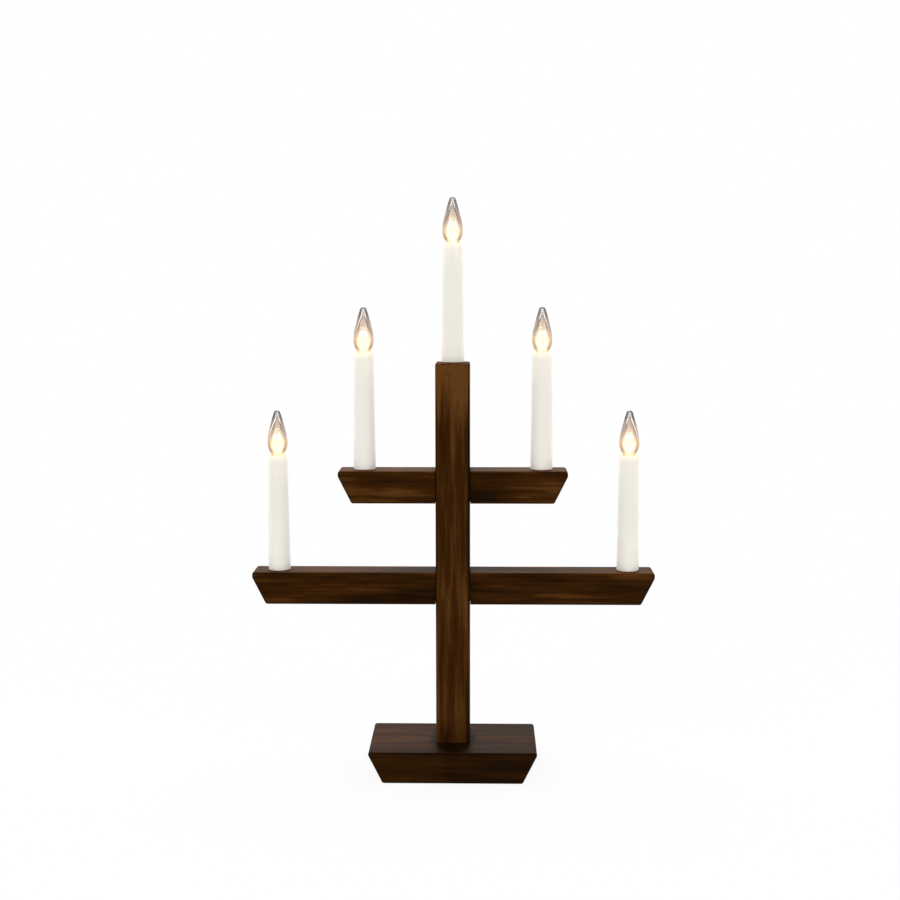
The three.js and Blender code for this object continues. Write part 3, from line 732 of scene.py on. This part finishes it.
LAMP_GLASS = clear_glass("lamp_glass", LAMP_EDGE, LAMP_MIDDLE, LAMP_GLOW, LAMP_GLOW_END)
STEM_GLASS = clear_glass("stem_glass", STEM_EDGE, STEM_MIDDLE, STEM_GLOW, STEM_GLOW_END)
FILAMENT_GLOW = glowing_wire("filament_glow")
WIRE_COVER = wire_cover("wire_cover")
GROMMET_RUBBER = moulded_rubber("grommet_rubber")


# Shapes

def link(mesh, name, material):
    piece = bpy.data.objects.new(name, mesh)
    bpy.context.scene.collection.objects.link(piece)
    mesh.materials.clear()
    mesh.materials.append(material)
    return piece


def shade(mesh, sharp_angle):
    """Shades a mesh smooth, apart from edges that turn by more than the angle."""
    mesh.shade_smooth()
    mesh.set_sharp_from_angle(angle=sharp_angle)


def mark_heights(bm):
    """Keeps each vertex's height above the origin, for the materials."""
    layer = bm.verts.layers.float.new("height")
    for vert in bm.verts:
        vert[layer] = vert.co.z


def turned(profile, steps, closed=False):
    """A profile of (radius, height) points, turned about the Z axis."""
    bm = bmesh.new()
    verts = [bm.verts.new((radius, 0.0, height)) for radius, height in profile]
    for first, second in zip(verts, verts[1:]):
        bm.edges.new((first, second))
    if closed:
        bm.edges.new((verts[-1], verts[0]))
    bmesh.ops.spin(
        bm, geom=bm.verts[:] + bm.edges[:], cent=(0, 0, 0), axis=(0, 0, 1), angle=2 * math.pi,
        steps=steps, use_merge=True, use_duplicate=False,
    )
    bmesh.ops.remove_doubles(bm, verts=bm.verts, dist=WELD)
    bmesh.ops.recalc_face_normals(bm, faces=bm.faces)
    return bm


def settle(bm, name, material, place, turn=None, sharp_angle=SHARP_ANGLE):
    """Finishes a shape that was made about the origin: marks heights, places it and links it."""
    mark_heights(bm)
    if turn is not None:
        bm.transform(turn)
    bmesh.ops.translate(bm, verts=bm.verts, vec=place)
    mesh = bpy.data.meshes.new(name)
    bm.to_mesh(mesh)
    bm.free()
    shade(mesh, sharp_angle)
    return link(mesh, name, material)


def dress(piece, body, slot, *nodes):
    """Ties a piece to its body and the solids that it stands for. Its slot, the name of its finish, is not
    used.
    """
    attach(piece, body)
    if nodes:
        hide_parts(*nodes)


def curve_points(corners, steps):
    """Points on a Bezier curve that is given by its four (radius, height) corners."""
    first, handle, second_handle, last = [Vector((radius, height, 0.0)) for radius, height in corners]
    points = geometry.interpolate_bezier(first, handle, second_handle, last, steps + 1)
    return [(point.x, point.y) for point in points]


def rounded_corner(start, corner, end, steps, fullness=0.5):
    """Points on a curve from start to end. The fuller it is, the nearer it comes to the corner."""
    start, corner, end = Vector(start), Vector(corner), Vector(end)
    return curve_points((start, start.lerp(corner, fullness), end.lerp(corner, fullness), end), steps)


def middle_of(node):
    """The middle of a node's box."""
    low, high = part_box(node)
    return (low + high) / 2


# Wood

def face_width(face):
    """About how wide a face is across its longest edge."""
    return face.calc_area() / max(edge.calc_length() for edge in face.edges)


def mark_stain_and_edge_shade(bm, grain):
    """Marks where the wood is painted darker: painted shade inside rounded edges, and darker stain where the
    grain ends in a face.

    A corner is inside a rounded edge where only narrow faces meet in it.
    """
    edge_shade = bm.verts.layers.float.new("edge_shade")
    for vert in bm.verts:
        widest = max(face_width(face) for face in vert.link_faces)
        vert[edge_shade] = 1.0 if widest < ROUNDING_WIDTH else 0.0
    end_grain = bm.faces.layers.float.new("end_grain")
    for face in bm.faces:
        face[end_grain] = abs(face.normal.dot(grain))


def planed_wood(node, material, grain):
    """A solid with its triangles joined into flat faces and its rounded edges shaded smooth."""
    mesh = bpy.data.meshes.new(node + "_wood")
    bm = bmesh.new()
    bm.from_mesh(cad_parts[node].data)
    bmesh.ops.remove_doubles(bm, verts=bm.verts, dist=SOLID_WELD)
    bmesh.ops.dissolve_limit(
        bm, angle_limit=FLAT_ANGLE, verts=bm.verts, edges=bm.edges, delimit={"SEAM"},
    )
    bm.normal_update()
    mark_stain_and_edge_shade(bm, grain)
    bm.to_mesh(mesh)
    bm.free()
    for name in [attribute.name for attribute in mesh.attributes if "normal" in attribute.name]:
        mesh.attributes.remove(mesh.attributes[name])
    shade(mesh, WOOD_SHARP_ANGLE)
    piece = link(mesh, node + "_wood", material)
    weighted = piece.modifiers.new("flat_faces", "WEIGHTED_NORMAL")
    weighted.keep_sharp = True
    return piece


def make_wood():
    """The base, post and arms, and the strips that cover the channels in their backs."""
    for node, material, grain in (
        ("base_block", BASE_WOOD, ALONG_X), ("post", POST_WOOD, ALONG_Z),
        ("lower_arm", LOWER_ARM_WOOD, ALONG_X), ("upper_arm", UPPER_ARM_WOOD, ALONG_X),
    ):
        dress(planed_wood(node, material, grain), "stand", "stained_wood", node)
    strips = [("post_cover_strip", POST_STRIP_WOOD, ALONG_Z)]
    strips += [(f"{half}_cover_strip", ARM_STRIP_WOOD, ALONG_X) for half in ARM_HALVES]
    for node, material, grain in strips:
        dress(planed_wood(node, material, grain), "stand", "strip_wood", node)


# Candle sleeves and lamp holders

def sleeve_profile():
    foot, top, edge = SLEEVE_FOOT_RADIUS, SLEEVE_TOP_RADIUS, SLEEVE_EDGE
    inner_top, inner_foot = top - SLEEVE_WALL, foot - SLEEVE_WALL
    low = -SLEEVE_LENGTH
    rim = rounded_corner((top, -edge), (top, 0.0), (top - edge, 0.0), RIM_STEPS)
    lip = rounded_corner((inner_top + edge, 0.0), (inner_top, 0.0), (inner_top, -edge), RIM_STEPS)
    return [
        (SPIGOT_BORE, low - SPIGOT_LENGTH), (SPIGOT_RADIUS - edge, low - SPIGOT_LENGTH),
        (SPIGOT_RADIUS, low - SPIGOT_LENGTH + edge), (SPIGOT_RADIUS, low),
        (foot - edge, low), (foot, low + edge), *rim, *lip,
        (inner_foot, low + SLEEVE_FLOOR), (SPIGOT_BORE, low + SLEEVE_FLOOR),
    ]


def holder_profile():
    bore = HOLDER_RADIUS - HOLDER_WALL
    top = -HOLDER_RECESS
    foot = top - HOLDER_LENGTH
    edge = HOLDER_EDGE
    return [
        (0.0, foot), (HOLDER_RADIUS - edge, foot), (HOLDER_RADIUS, foot + edge), (HOLDER_RADIUS, top - edge),
        (HOLDER_RADIUS - edge, top), (bore + edge, top), (bore, top - edge), (bore, foot + HOLDER_FLOOR),
        (0.0, foot + HOLDER_FLOOR),
    ]


def threaded_tube(inner, outer, foot, top, below=()):
    """A thin tube rolled into a right-hand thread: both walls follow the same crest.

    The thread runs out towards both ends of the tube. Profile points below its foot, from the inner wall
    round to the outer one, stay plain.
    """
    rows = round((top - foot) / THREAD_PITCH * THREAD_ROWS)
    heights = [foot + (top - foot) * row / rows for row in range(rows + 1)]
    profile = [(outer, height) for height in heights] + [(inner, height) for height in reversed(heights)]
    bm = turned([*profile, *below], SMALL_STEPS, closed=True)
    run_out = THREAD_PITCH * THREAD_RUN_OUT
    for vert in bm.verts:
        angle = math.atan2(vert.co.y, vert.co.x)
        end_distance = min(vert.co.z - foot, top - vert.co.z)
        strength = max(0.0, min(1.0, end_distance / run_out))
        crest = 0.5 + 0.5 * math.cos(2 * math.pi * vert.co.z / THREAD_PITCH - angle)
        radius = Vector(vert.co.xy).length
        pushed = radius - THREAD_DEPTH * strength * (1.0 - crest)
        vert.co.x *= pushed / radius
        vert.co.y *= pushed / radius
    return bm


def socket_shape():
    """The threaded shell in the lamp holder."""
    bore = CAP_RADIUS + THREAD_GAP
    top = -HOLDER_RECESS - 2 * JOINT_GAP
    foot = -HOLDER_RECESS - HOLDER_LENGTH + HOLDER_FLOOR + JOINT_GAP
    return threaded_tube(bore, bore + SHELL_WALL, foot, top)


# Lamp

def flame_points(wall, tip, taper, nib):
    """Half of the lamp's outline from its waist to its tip, with the wall taken off."""
    belly, waist = BULB_RADIUS - wall, WAIST_RADIUS - wall
    nib_start = tip - NIB_HEIGHT
    swell = (
        (waist, 0.0), (waist + WAIST_FLARE / 2, WAIST_FLARE * 2), (belly, BELLY_HEIGHT - FLAME_SHOULDER),
        (belly, BELLY_HEIGHT),
    )
    flame = (
        (belly, BELLY_HEIGHT), (belly, BELLY_HEIGHT + FLAME_SHOULDER),
        (taper, nib_start - FLAME_TAPER_LENGTH), (nib, nib_start),
    )
    nose = ((nib, nib_start), (nib, (nib_start + tip) / 2), (nib / 2, tip), (0.0, tip))
    points = curve_points(swell, FLAME_STEPS)
    points += curve_points(flame, FLAME_STEPS * 2)[1:]
    points += curve_points(nose, FLAME_STEPS)[1:]
    return points


def glass_shape():
    """Blown glass: its wall thickens towards the tip, where it was drawn off and sealed."""
    neck_foot = -CAP_BELOW_RIM - NECK_LENGTH + JOINT_GAP
    outside = [(NECK_RADIUS, neck_foot), (NECK_RADIUS, -CAP_BELOW_RIM)]
    outside += flame_points(0.0, BULB_HEIGHT, FLAME_TAPER_RADIUS, NIB_RADIUS)
    neck_bore = NECK_RADIUS - GLASS_WALL
    inside = [(neck_bore, neck_foot), (neck_bore, -CAP_BELOW_RIM)]
    inside += flame_points(GLASS_WALL, BULB_HEIGHT - SOLID_TIP, BORE_TAPER_RADIUS, BORE_TIP_RADIUS)
    return turned(inside[::-1] + outside, ROUND_STEPS)


def stem_shape():
    """The glass stem: a flare inside the cap that narrows to a rod with a rounded head."""
    foot = -CAP_BELOW_RIM - NECK_LENGTH + 2 * JOINT_GAP
    flare = (
        (STEM_RADIUS, foot), (STEM_RADIUS, STEM_FLARE_BEND), (STEM_ROD_RADIUS, STEM_ROD_BEND),
        (STEM_ROD_RADIUS, 0.0),
    )
    head = (
        (STEM_ROD_RADIUS, STEM_HEIGHT - STEM_HEAD_LENGTH),
        (STEM_ROD_RADIUS, STEM_HEIGHT - STEM_HEAD_ROUNDING),
        (STEM_HEAD_FLAT, STEM_HEIGHT), (0.0, STEM_HEIGHT),
    )
    sides = curve_points(flare, STEM_FLARE_STEPS) + curve_points(head, STEM_HEAD_STEPS)
    return turned([(0.0, foot), *sides], SMALL_STEPS)


def tube_mesh(paths, radius, roundness):
    """Round wires along the given lines of points, as one mesh."""
    curve = bpy.data.curves.new("wires", "CURVE")
    curve.dimensions = "3D"
    curve.bevel_depth = radius
    curve.bevel_resolution = roundness
    curve.use_fill_caps = True
    for path in paths:
        spline = curve.splines.new("POLY")
        spline.points.add(len(path) - 1)
        for point, place in zip(spline.points, path):
            point.co = (*place, 1.0)
    carrier = bpy.data.objects.new("wires", curve)
    bpy.context.scene.collection.objects.link(carrier)
    made = bpy.data.meshes.new_from_object(carrier)
    bpy.data.objects.remove(carrier)
    bpy.data.curves.remove(curve)
    bm = bmesh.new()
    bm.from_mesh(made)
    bpy.data.meshes.remove(made)
    bmesh.ops.remove_doubles(bm, verts=bm.verts, dist=WELD)
    bmesh.ops.recalc_face_normals(bm, faces=bm.faces)
    return bm


def lead_wires():
    """Two lead wires that leave the stem and spread to the ends of the coil."""
    paths = []
    for side in (-1, 1):
        root = Vector((side * LEAD_ROOT_SPREAD, 0.0, STEM_HEIGHT - LEAD_ROOT_DEPTH))
        leaving = Vector((side * LEAD_EXIT_SPREAD, 0.0, STEM_HEIGHT + LEAD_EXIT_HEIGHT))
        leaning = leaving + Vector((side * LEAD_LEAN, 0.0, LEAD_RISE))
        end = Vector((side * LEAD_SPREAD, 0.0, FILAMENT_FOOT))
        upright = end - ALONG_Z * LEAD_UPRIGHT
        points = geometry.interpolate_bezier(leaving, leaning, upright, end, LEAD_POINTS)
        paths.append([root, *points])
    return tube_mesh(paths, LEAD_RADIUS, LEAD_ROUNDNESS)


def coil_wire():
    """The filament: a fine coil that bows up between the two lead wires."""
    steps = COIL_TURNS * COIL_TURN_STEPS
    rise = FILAMENT_TOP - FILAMENT_FOOT
    path = []
    for step in range(steps + 1):
        share = step / steps
        sweep = math.pi * (1.0 - share)
        turn = 2 * math.pi * COIL_TURNS * share
        centre = Vector((LEAD_SPREAD * math.cos(sweep), 0.0, FILAMENT_FOOT + rise * math.sin(sweep)))
        outward = Vector((math.cos(sweep), 0.0, math.sin(sweep)))
        path.append(centre + COIL_RADIUS * (outward * math.cos(turn) + ALONG_Y * math.sin(turn)))
    return tube_mesh([path], COIL_WIRE, COIL_ROUNDNESS)


def cap_shape():
    """The threaded cap with its cone and the hole for the button."""
    top = -CAP_BELOW_RIM
    shoulder = top - CAP_LENGTH
    foot = shoulder - CAP_CONE
    cone = [(CAP_HOLE, foot + 2 * CAP_WALL), (CAP_HOLE, foot), (CAP_CONE_RADIUS, foot)]
    return threaded_tube(CAP_RADIUS - CAP_WALL, CAP_RADIUS, shoulder, top, below=cone)


def button_shape():
    """The contact button: a low dome under the cap, with a shank that goes up through its hole."""
    top = -CAP_BELOW_RIM - CAP_LENGTH - CAP_CONE - JOINT_GAP
    foot = top - BUTTON_HEIGHT
    neck_top = top + JOINT_GAP + 2 * CAP_WALL
    dome = curve_points(
        ((0.0, foot), (BUTTON_FLAT, foot), (BUTTON_RADIUS, foot + BUTTON_SIDE), (BUTTON_RADIUS, top)),
        BUTTON_STEPS,
    )
    return turned([*dome, (BUTTON_SHANK, top), (BUTTON_SHANK, neck_top), (0.0, neck_top)], SMALL_STEPS)


def make_candle(candle):
    """One sleeve with its lamp holder and lamp, all placed from the middle of the sleeve's rim."""
    rim = middle_of(f"{candle}_sleeve")
    rim.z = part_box(f"{candle}_sleeve")[1].z
    lamp = f"{candle}_lamp"
    contact = f"{candle}_lamp_contact"

    def made(shape, part, material, body, slot, *nodes, sharp_angle=SHARP_ANGLE):
        piece = settle(shape, f"{candle}_{part}_shape", material, rim, sharp_angle=sharp_angle)
        dress(piece, body, slot, *[f"{candle}_{node}" for node in nodes])

    sleeve = turned(sleeve_profile(), ROUND_STEPS, closed=True)
    holder = turned(holder_profile(), ROUND_STEPS)
    made(sleeve, "sleeve", SLEEVE_PLASTIC, "stand", "candle_plastic", "sleeve")
    made(holder, "holder", HOLDER_PLASTIC, "stand", "holder_plastic", "lamp_holder")
    made(socket_shape(), "shell", CAP_BRASS, "stand", "brass", "socket_shell", sharp_angle=THREAD_SHARP_ANGLE)
    made(glass_shape(), "glass", LAMP_GLASS, lamp, "lamp_glass", "lamp_glass")
    made(stem_shape(), "stem", STEM_GLASS, lamp, "lamp_stem", "lamp_filament")
    made(lead_wires(), "leads", LEAD_METAL, lamp, "lamp_stem")
    made(coil_wire(), "coil", FILAMENT_GLOW, lamp, "lamp_stem")
    made(cap_shape(), "cap", CAP_BRASS, lamp, "brass", "lamp_cap", sharp_angle=THREAD_SHARP_ANGLE)
    made(button_shape(), "button", SOLDER, contact, "solder", "lamp_button")


# Grommet and screws

def make_grommet():
    """A round grommet whose flange has a rounded outside and a rounded lip round its bore."""
    edge = FLANGE_THICKNESS / 2
    outside = rounded_corner(
        (FLANGE_RADIUS, edge), (FLANGE_RADIUS, FLANGE_THICKNESS), (FLANGE_RADIUS - edge, FLANGE_THICKNESS),
        LIP_STEPS, GROMMET_FULLNESS,
    )
    lip = rounded_corner(
        (GROMMET_BORE + edge, FLANGE_THICKNESS), (GROMMET_BORE, FLANGE_THICKNESS), (GROMMET_BORE, edge),
        LIP_STEPS, GROMMET_FULLNESS,
    )
    profile = [
        (GROMMET_BORE, -GROMMET_LENGTH), (GROMMET_RADIUS, -GROMMET_LENGTH), (GROMMET_RADIUS, 0.0),
        (FLANGE_RADIUS, 0.0), *outside, *lip,
    ]
    shape = turned(profile, SMALL_STEPS, closed=True)
    place = middle_of("cord_grommet")
    place.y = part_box("cord_grommet")[1].y - FLANGE_THICKNESS
    turn = Matrix.Rotation(-math.pi / 2, 4, "X")
    piece = settle(shape, "grommet_shape", GROMMET_RUBBER, place, turn)
    dress(piece, "stand", "grommet_rubber", "cord_grommet")


def screw_shape(length):
    """A countersunk head, a plain shank and the ridges of the thread, from the head up."""
    profile = [
        (0.0, 0.0), (SCREW_HEAD_RADIUS - SCREW_HEAD_EDGE, 0.0), (SCREW_HEAD_RADIUS, SCREW_HEAD_EDGE),
        (SCREW_RADIUS, SCREW_HEAD_RADIUS - SCREW_RADIUS), (SCREW_RADIUS, SCREW_PLAIN_LENGTH),
    ]
    pitch = (length - 2 * SCREW_RADIUS - SCREW_PLAIN_LENGTH) / SCREW_TURNS
    flank = pitch * FLANK_SHARE
    for number in range(SCREW_TURNS):
        start = SCREW_PLAIN_LENGTH + number * pitch
        end = start + pitch
        profile += [(SCREW_CORE_RADIUS, start + flank), (SCREW_CORE_RADIUS, end - flank), (SCREW_RADIUS, end)]
    profile += [(0.0, length)]
    return turned(profile, SMALL_STEPS)


def drive_cutter(place):
    """A cross-shaped bar, narrower at its upper end, that cuts the recess into a screw's head."""
    half_width = DRIVE_WIDTH / 2
    corners = ((DRIVE_REACH, -half_width), (DRIVE_REACH, half_width), (half_width, half_width))
    bm = bmesh.new()
    outline = []
    for quarter in range(4):
        turn = Matrix.Rotation(quarter * math.pi / 2, 2)
        outline += [bm.verts.new((*(turn @ Vector(corner)), -DRIVE_DEPTH)) for corner in corners]
    foot = bm.faces.new(outline)
    extruded = bmesh.ops.extrude_face_region(bm, geom=[foot])
    upper = [item for item in extruded["geom"] if isinstance(item, bmesh.types.BMVert)]
    bmesh.ops.translate(bm, verts=upper, vec=(0.0, 0.0, 2 * DRIVE_DEPTH))
    bmesh.ops.scale(bm, verts=upper, vec=(DRIVE_TAPER, DRIVE_TAPER, 1.0))
    bmesh.ops.translate(bm, verts=bm.verts, vec=place)
    bmesh.ops.recalc_face_normals(bm, faces=bm.faces)
    mesh = bpy.data.meshes.new("drive")
    bm.to_mesh(mesh)
    bm.free()
    cutter = bpy.data.objects.new("drive", mesh)
    bpy.context.scene.collection.objects.link(cutter)
    return cutter


def cut_drive(piece, place):
    """Cuts the cross recess into a screw's head, and joins the slivers that the cut leaves."""
    cutter = drive_cutter(place)
    cross = piece.modifiers.new("drive", "BOOLEAN")
    cross.operation = "DIFFERENCE"
    cross.solver = "MANIFOLD"
    cross.object = cutter
    bpy.context.view_layer.update()
    evaluated = piece.evaluated_get(bpy.context.evaluated_depsgraph_get())
    cut_mesh = bpy.data.meshes.new_from_object(evaluated)
    bm = bmesh.new()
    bm.from_mesh(cut_mesh)
    bmesh.ops.remove_doubles(bm, verts=bm.verts, dist=CUT_WELD)
    bmesh.ops.dissolve_degenerate(bm, edges=bm.edges, dist=CUT_WELD)
    bm.to_mesh(cut_mesh)
    bm.free()
    piece.modifiers.clear()
    piece.data = cut_mesh
    bpy.data.objects.remove(cutter)


def make_screw(side):
    """A countersunk screw with a cross cut in its head, seen from under the base."""
    node = f"post_screw_{side}"
    low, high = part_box(node)
    place = middle_of(node)
    place.z = low.z
    shape = screw_shape(high.z - low.z)
    piece = settle(shape, f"screw_{side}_shape", SCREW_STEEL, place, sharp_angle=SCREW_SHARP_ANGLE)
    cut_drive(piece, place)
    dress(piece, "stand", "screw_steel", node)


def finish_hidden_solids():
    """Pieces that stay as solids inside the wood and the sleeves get their own finish."""
    for name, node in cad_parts.items():
        if name.endswith("_contact"):
            material = CAP_BRASS
        elif "_wire_" in name:
            material = WIRE_COVER
        else:
            continue
        node.data.materials.clear()
        node.data.materials.append(material)


# Surroundings

def make_camera():
    forward = Vector((
        math.sin(CAMERA_YAW) * math.cos(CAMERA_PITCH), math.cos(CAMERA_YAW) * math.cos(CAMERA_PITCH),
        -math.sin(CAMERA_PITCH),
    ))
    level = Vector((math.cos(CAMERA_YAW), -math.sin(CAMERA_YAW), 0.0))
    upright = level.cross(forward)
    right = level * math.cos(CAMERA_ROLL) + upright * math.sin(CAMERA_ROLL)
    up = -level * math.sin(CAMERA_ROLL) + upright * math.cos(CAMERA_ROLL)
    data = bpy.data.cameras.new("camera")
    data.sensor_width = SENSOR
    data.lens = LENS
    data.clip_start = NEAREST_SEEN
    data.clip_end = FARTHEST_SEEN
    camera = bpy.data.objects.new("camera", data)
    turn = Matrix((right, up, -forward)).transposed().to_4x4()
    camera.matrix_world = Matrix.Translation(CAMERA_PLACE) @ turn
    bpy.context.scene.collection.objects.link(camera)
    bpy.context.scene.camera = camera


def ray_share(graph, *kinds):
    """1 for rays of any of these kinds."""
    share = 0.0
    for kind in kinds:
        share = share + graph.node("LightPath", output=kind)
    return graph.node("Clamp", {"Value": share})


def make_floor():
    """White paper that keeps a faint shadow, and that isn't seen from below."""
    graph = new_graph("floor_paper")
    distance = graph.length(graph.scaled(graph.object_place(), (1.0, 1.0, 0.0)))
    whiteness = distance.rising(FLOOR_FADE_START, FLOOR_FADE_END).between(FLOOR_WHITENESS, 1.0)
    paper = graph.node("BsdfDiffuse", {"Color": PAPER})
    white = graph.node("Emission", {"Color": WHITE, "Strength": 1.0})
    seen = ray_share(graph, "Is Camera Ray", "Is Glossy Ray", "Is Transmission Ray")
    above = graph.node("MixShader", {0: seen * whiteness, 1: paper, 2: white})
    below = graph.node("NewGeometry", output="Backfacing")
    clear = graph.node("BsdfTransparent")
    material = graph.finish(graph.node("MixShader", {0: below, 1: above, 2: clear}))
    bm = bmesh.new()
    bmesh.ops.create_circle(bm, cap_ends=True, segments=FLOOR_SIDES, radius=FLOOR_RADIUS)
    bmesh.ops.translate(bm, verts=bm.verts, vec=(0.0, 0.0, -FLOOR_GAP))
    mesh = bpy.data.meshes.new("floor")
    bm.to_mesh(mesh)
    bm.free()
    link(mesh, "floor", material)


def make_world():
    """Soft white light all round. Reflections show a white room behind the object and a dim one in front."""
    world = bpy.data.worlds.new("studio")
    bpy.context.scene.world = world
    graph = Graph(world)
    direction = graph.node("TexCoord", output="Generated")
    behind = graph.node("SeparateXYZ", {"Vector": direction}, output="Y").rising(FRONT_END, BACK_START)
    mirrored_level = behind.between(FRONT_LEVEL, BACK_LEVEL)
    fill = graph.node("Background", {"Color": WHITE, "Strength": FILL_LEVEL})
    mirrored = graph.node("Background", {"Color": WHITE, "Strength": mirrored_level})
    seen = graph.node("Background", {"Color": WHITE, "Strength": 1.0})
    glossy = ray_share(graph, "Is Glossy Ray")
    straight = ray_share(graph, "Is Camera Ray", "Is Transmission Ray")
    shader = graph.node("MixShader", {0: glossy, 1: fill, 2: mirrored})
    shader = graph.node("MixShader", {0: straight, 1: shader, 2: seen})
    graph.finish(shader, "OutputWorld")


def make_light(name, place, size, power, mirrored=True):
    data = bpy.data.lights.new(name, "AREA")
    data.shape = "DISK"
    data.size = size
    data.energy = power
    light = bpy.data.objects.new(name, data)
    light.visible_camera = False
    light.visible_glossy = mirrored
    direction = LIT_PLACE - Vector(place)
    light.matrix_world = Matrix.Translation(place) @ direction.to_track_quat("-Z", "Y").to_matrix().to_4x4()
    bpy.context.scene.collection.objects.link(light)


def make_lights():
    make_light("key_left", KEY_LEFT_PLACE, KEY_SIZE, KEY_POWER)
    make_light("key_right", KEY_RIGHT_PLACE, KEY_SIZE, KEY_POWER * KEY_RIGHT_SHARE)
    make_light("side_left", SIDE_LEFT_PLACE, SIDE_SIZE, SIDE_POWER, mirrored=False)
    make_light("side_right", SIDE_RIGHT_PLACE, SIDE_SIZE, SIDE_POWER, mirrored=False)
    make_light("top", TOP_PLACE, TOP_SIZE, TOP_POWER)


make_camera()
make_world()
make_lights()
make_floor()
make_wood()
for candle_name in CANDLES:
    make_candle(candle_name)
make_grommet()
for screw_side in ("left", "right"):
    make_screw(screw_side)
finish_hidden_solids()

bpy.context.scene.view_settings.view_transform = "Standard"
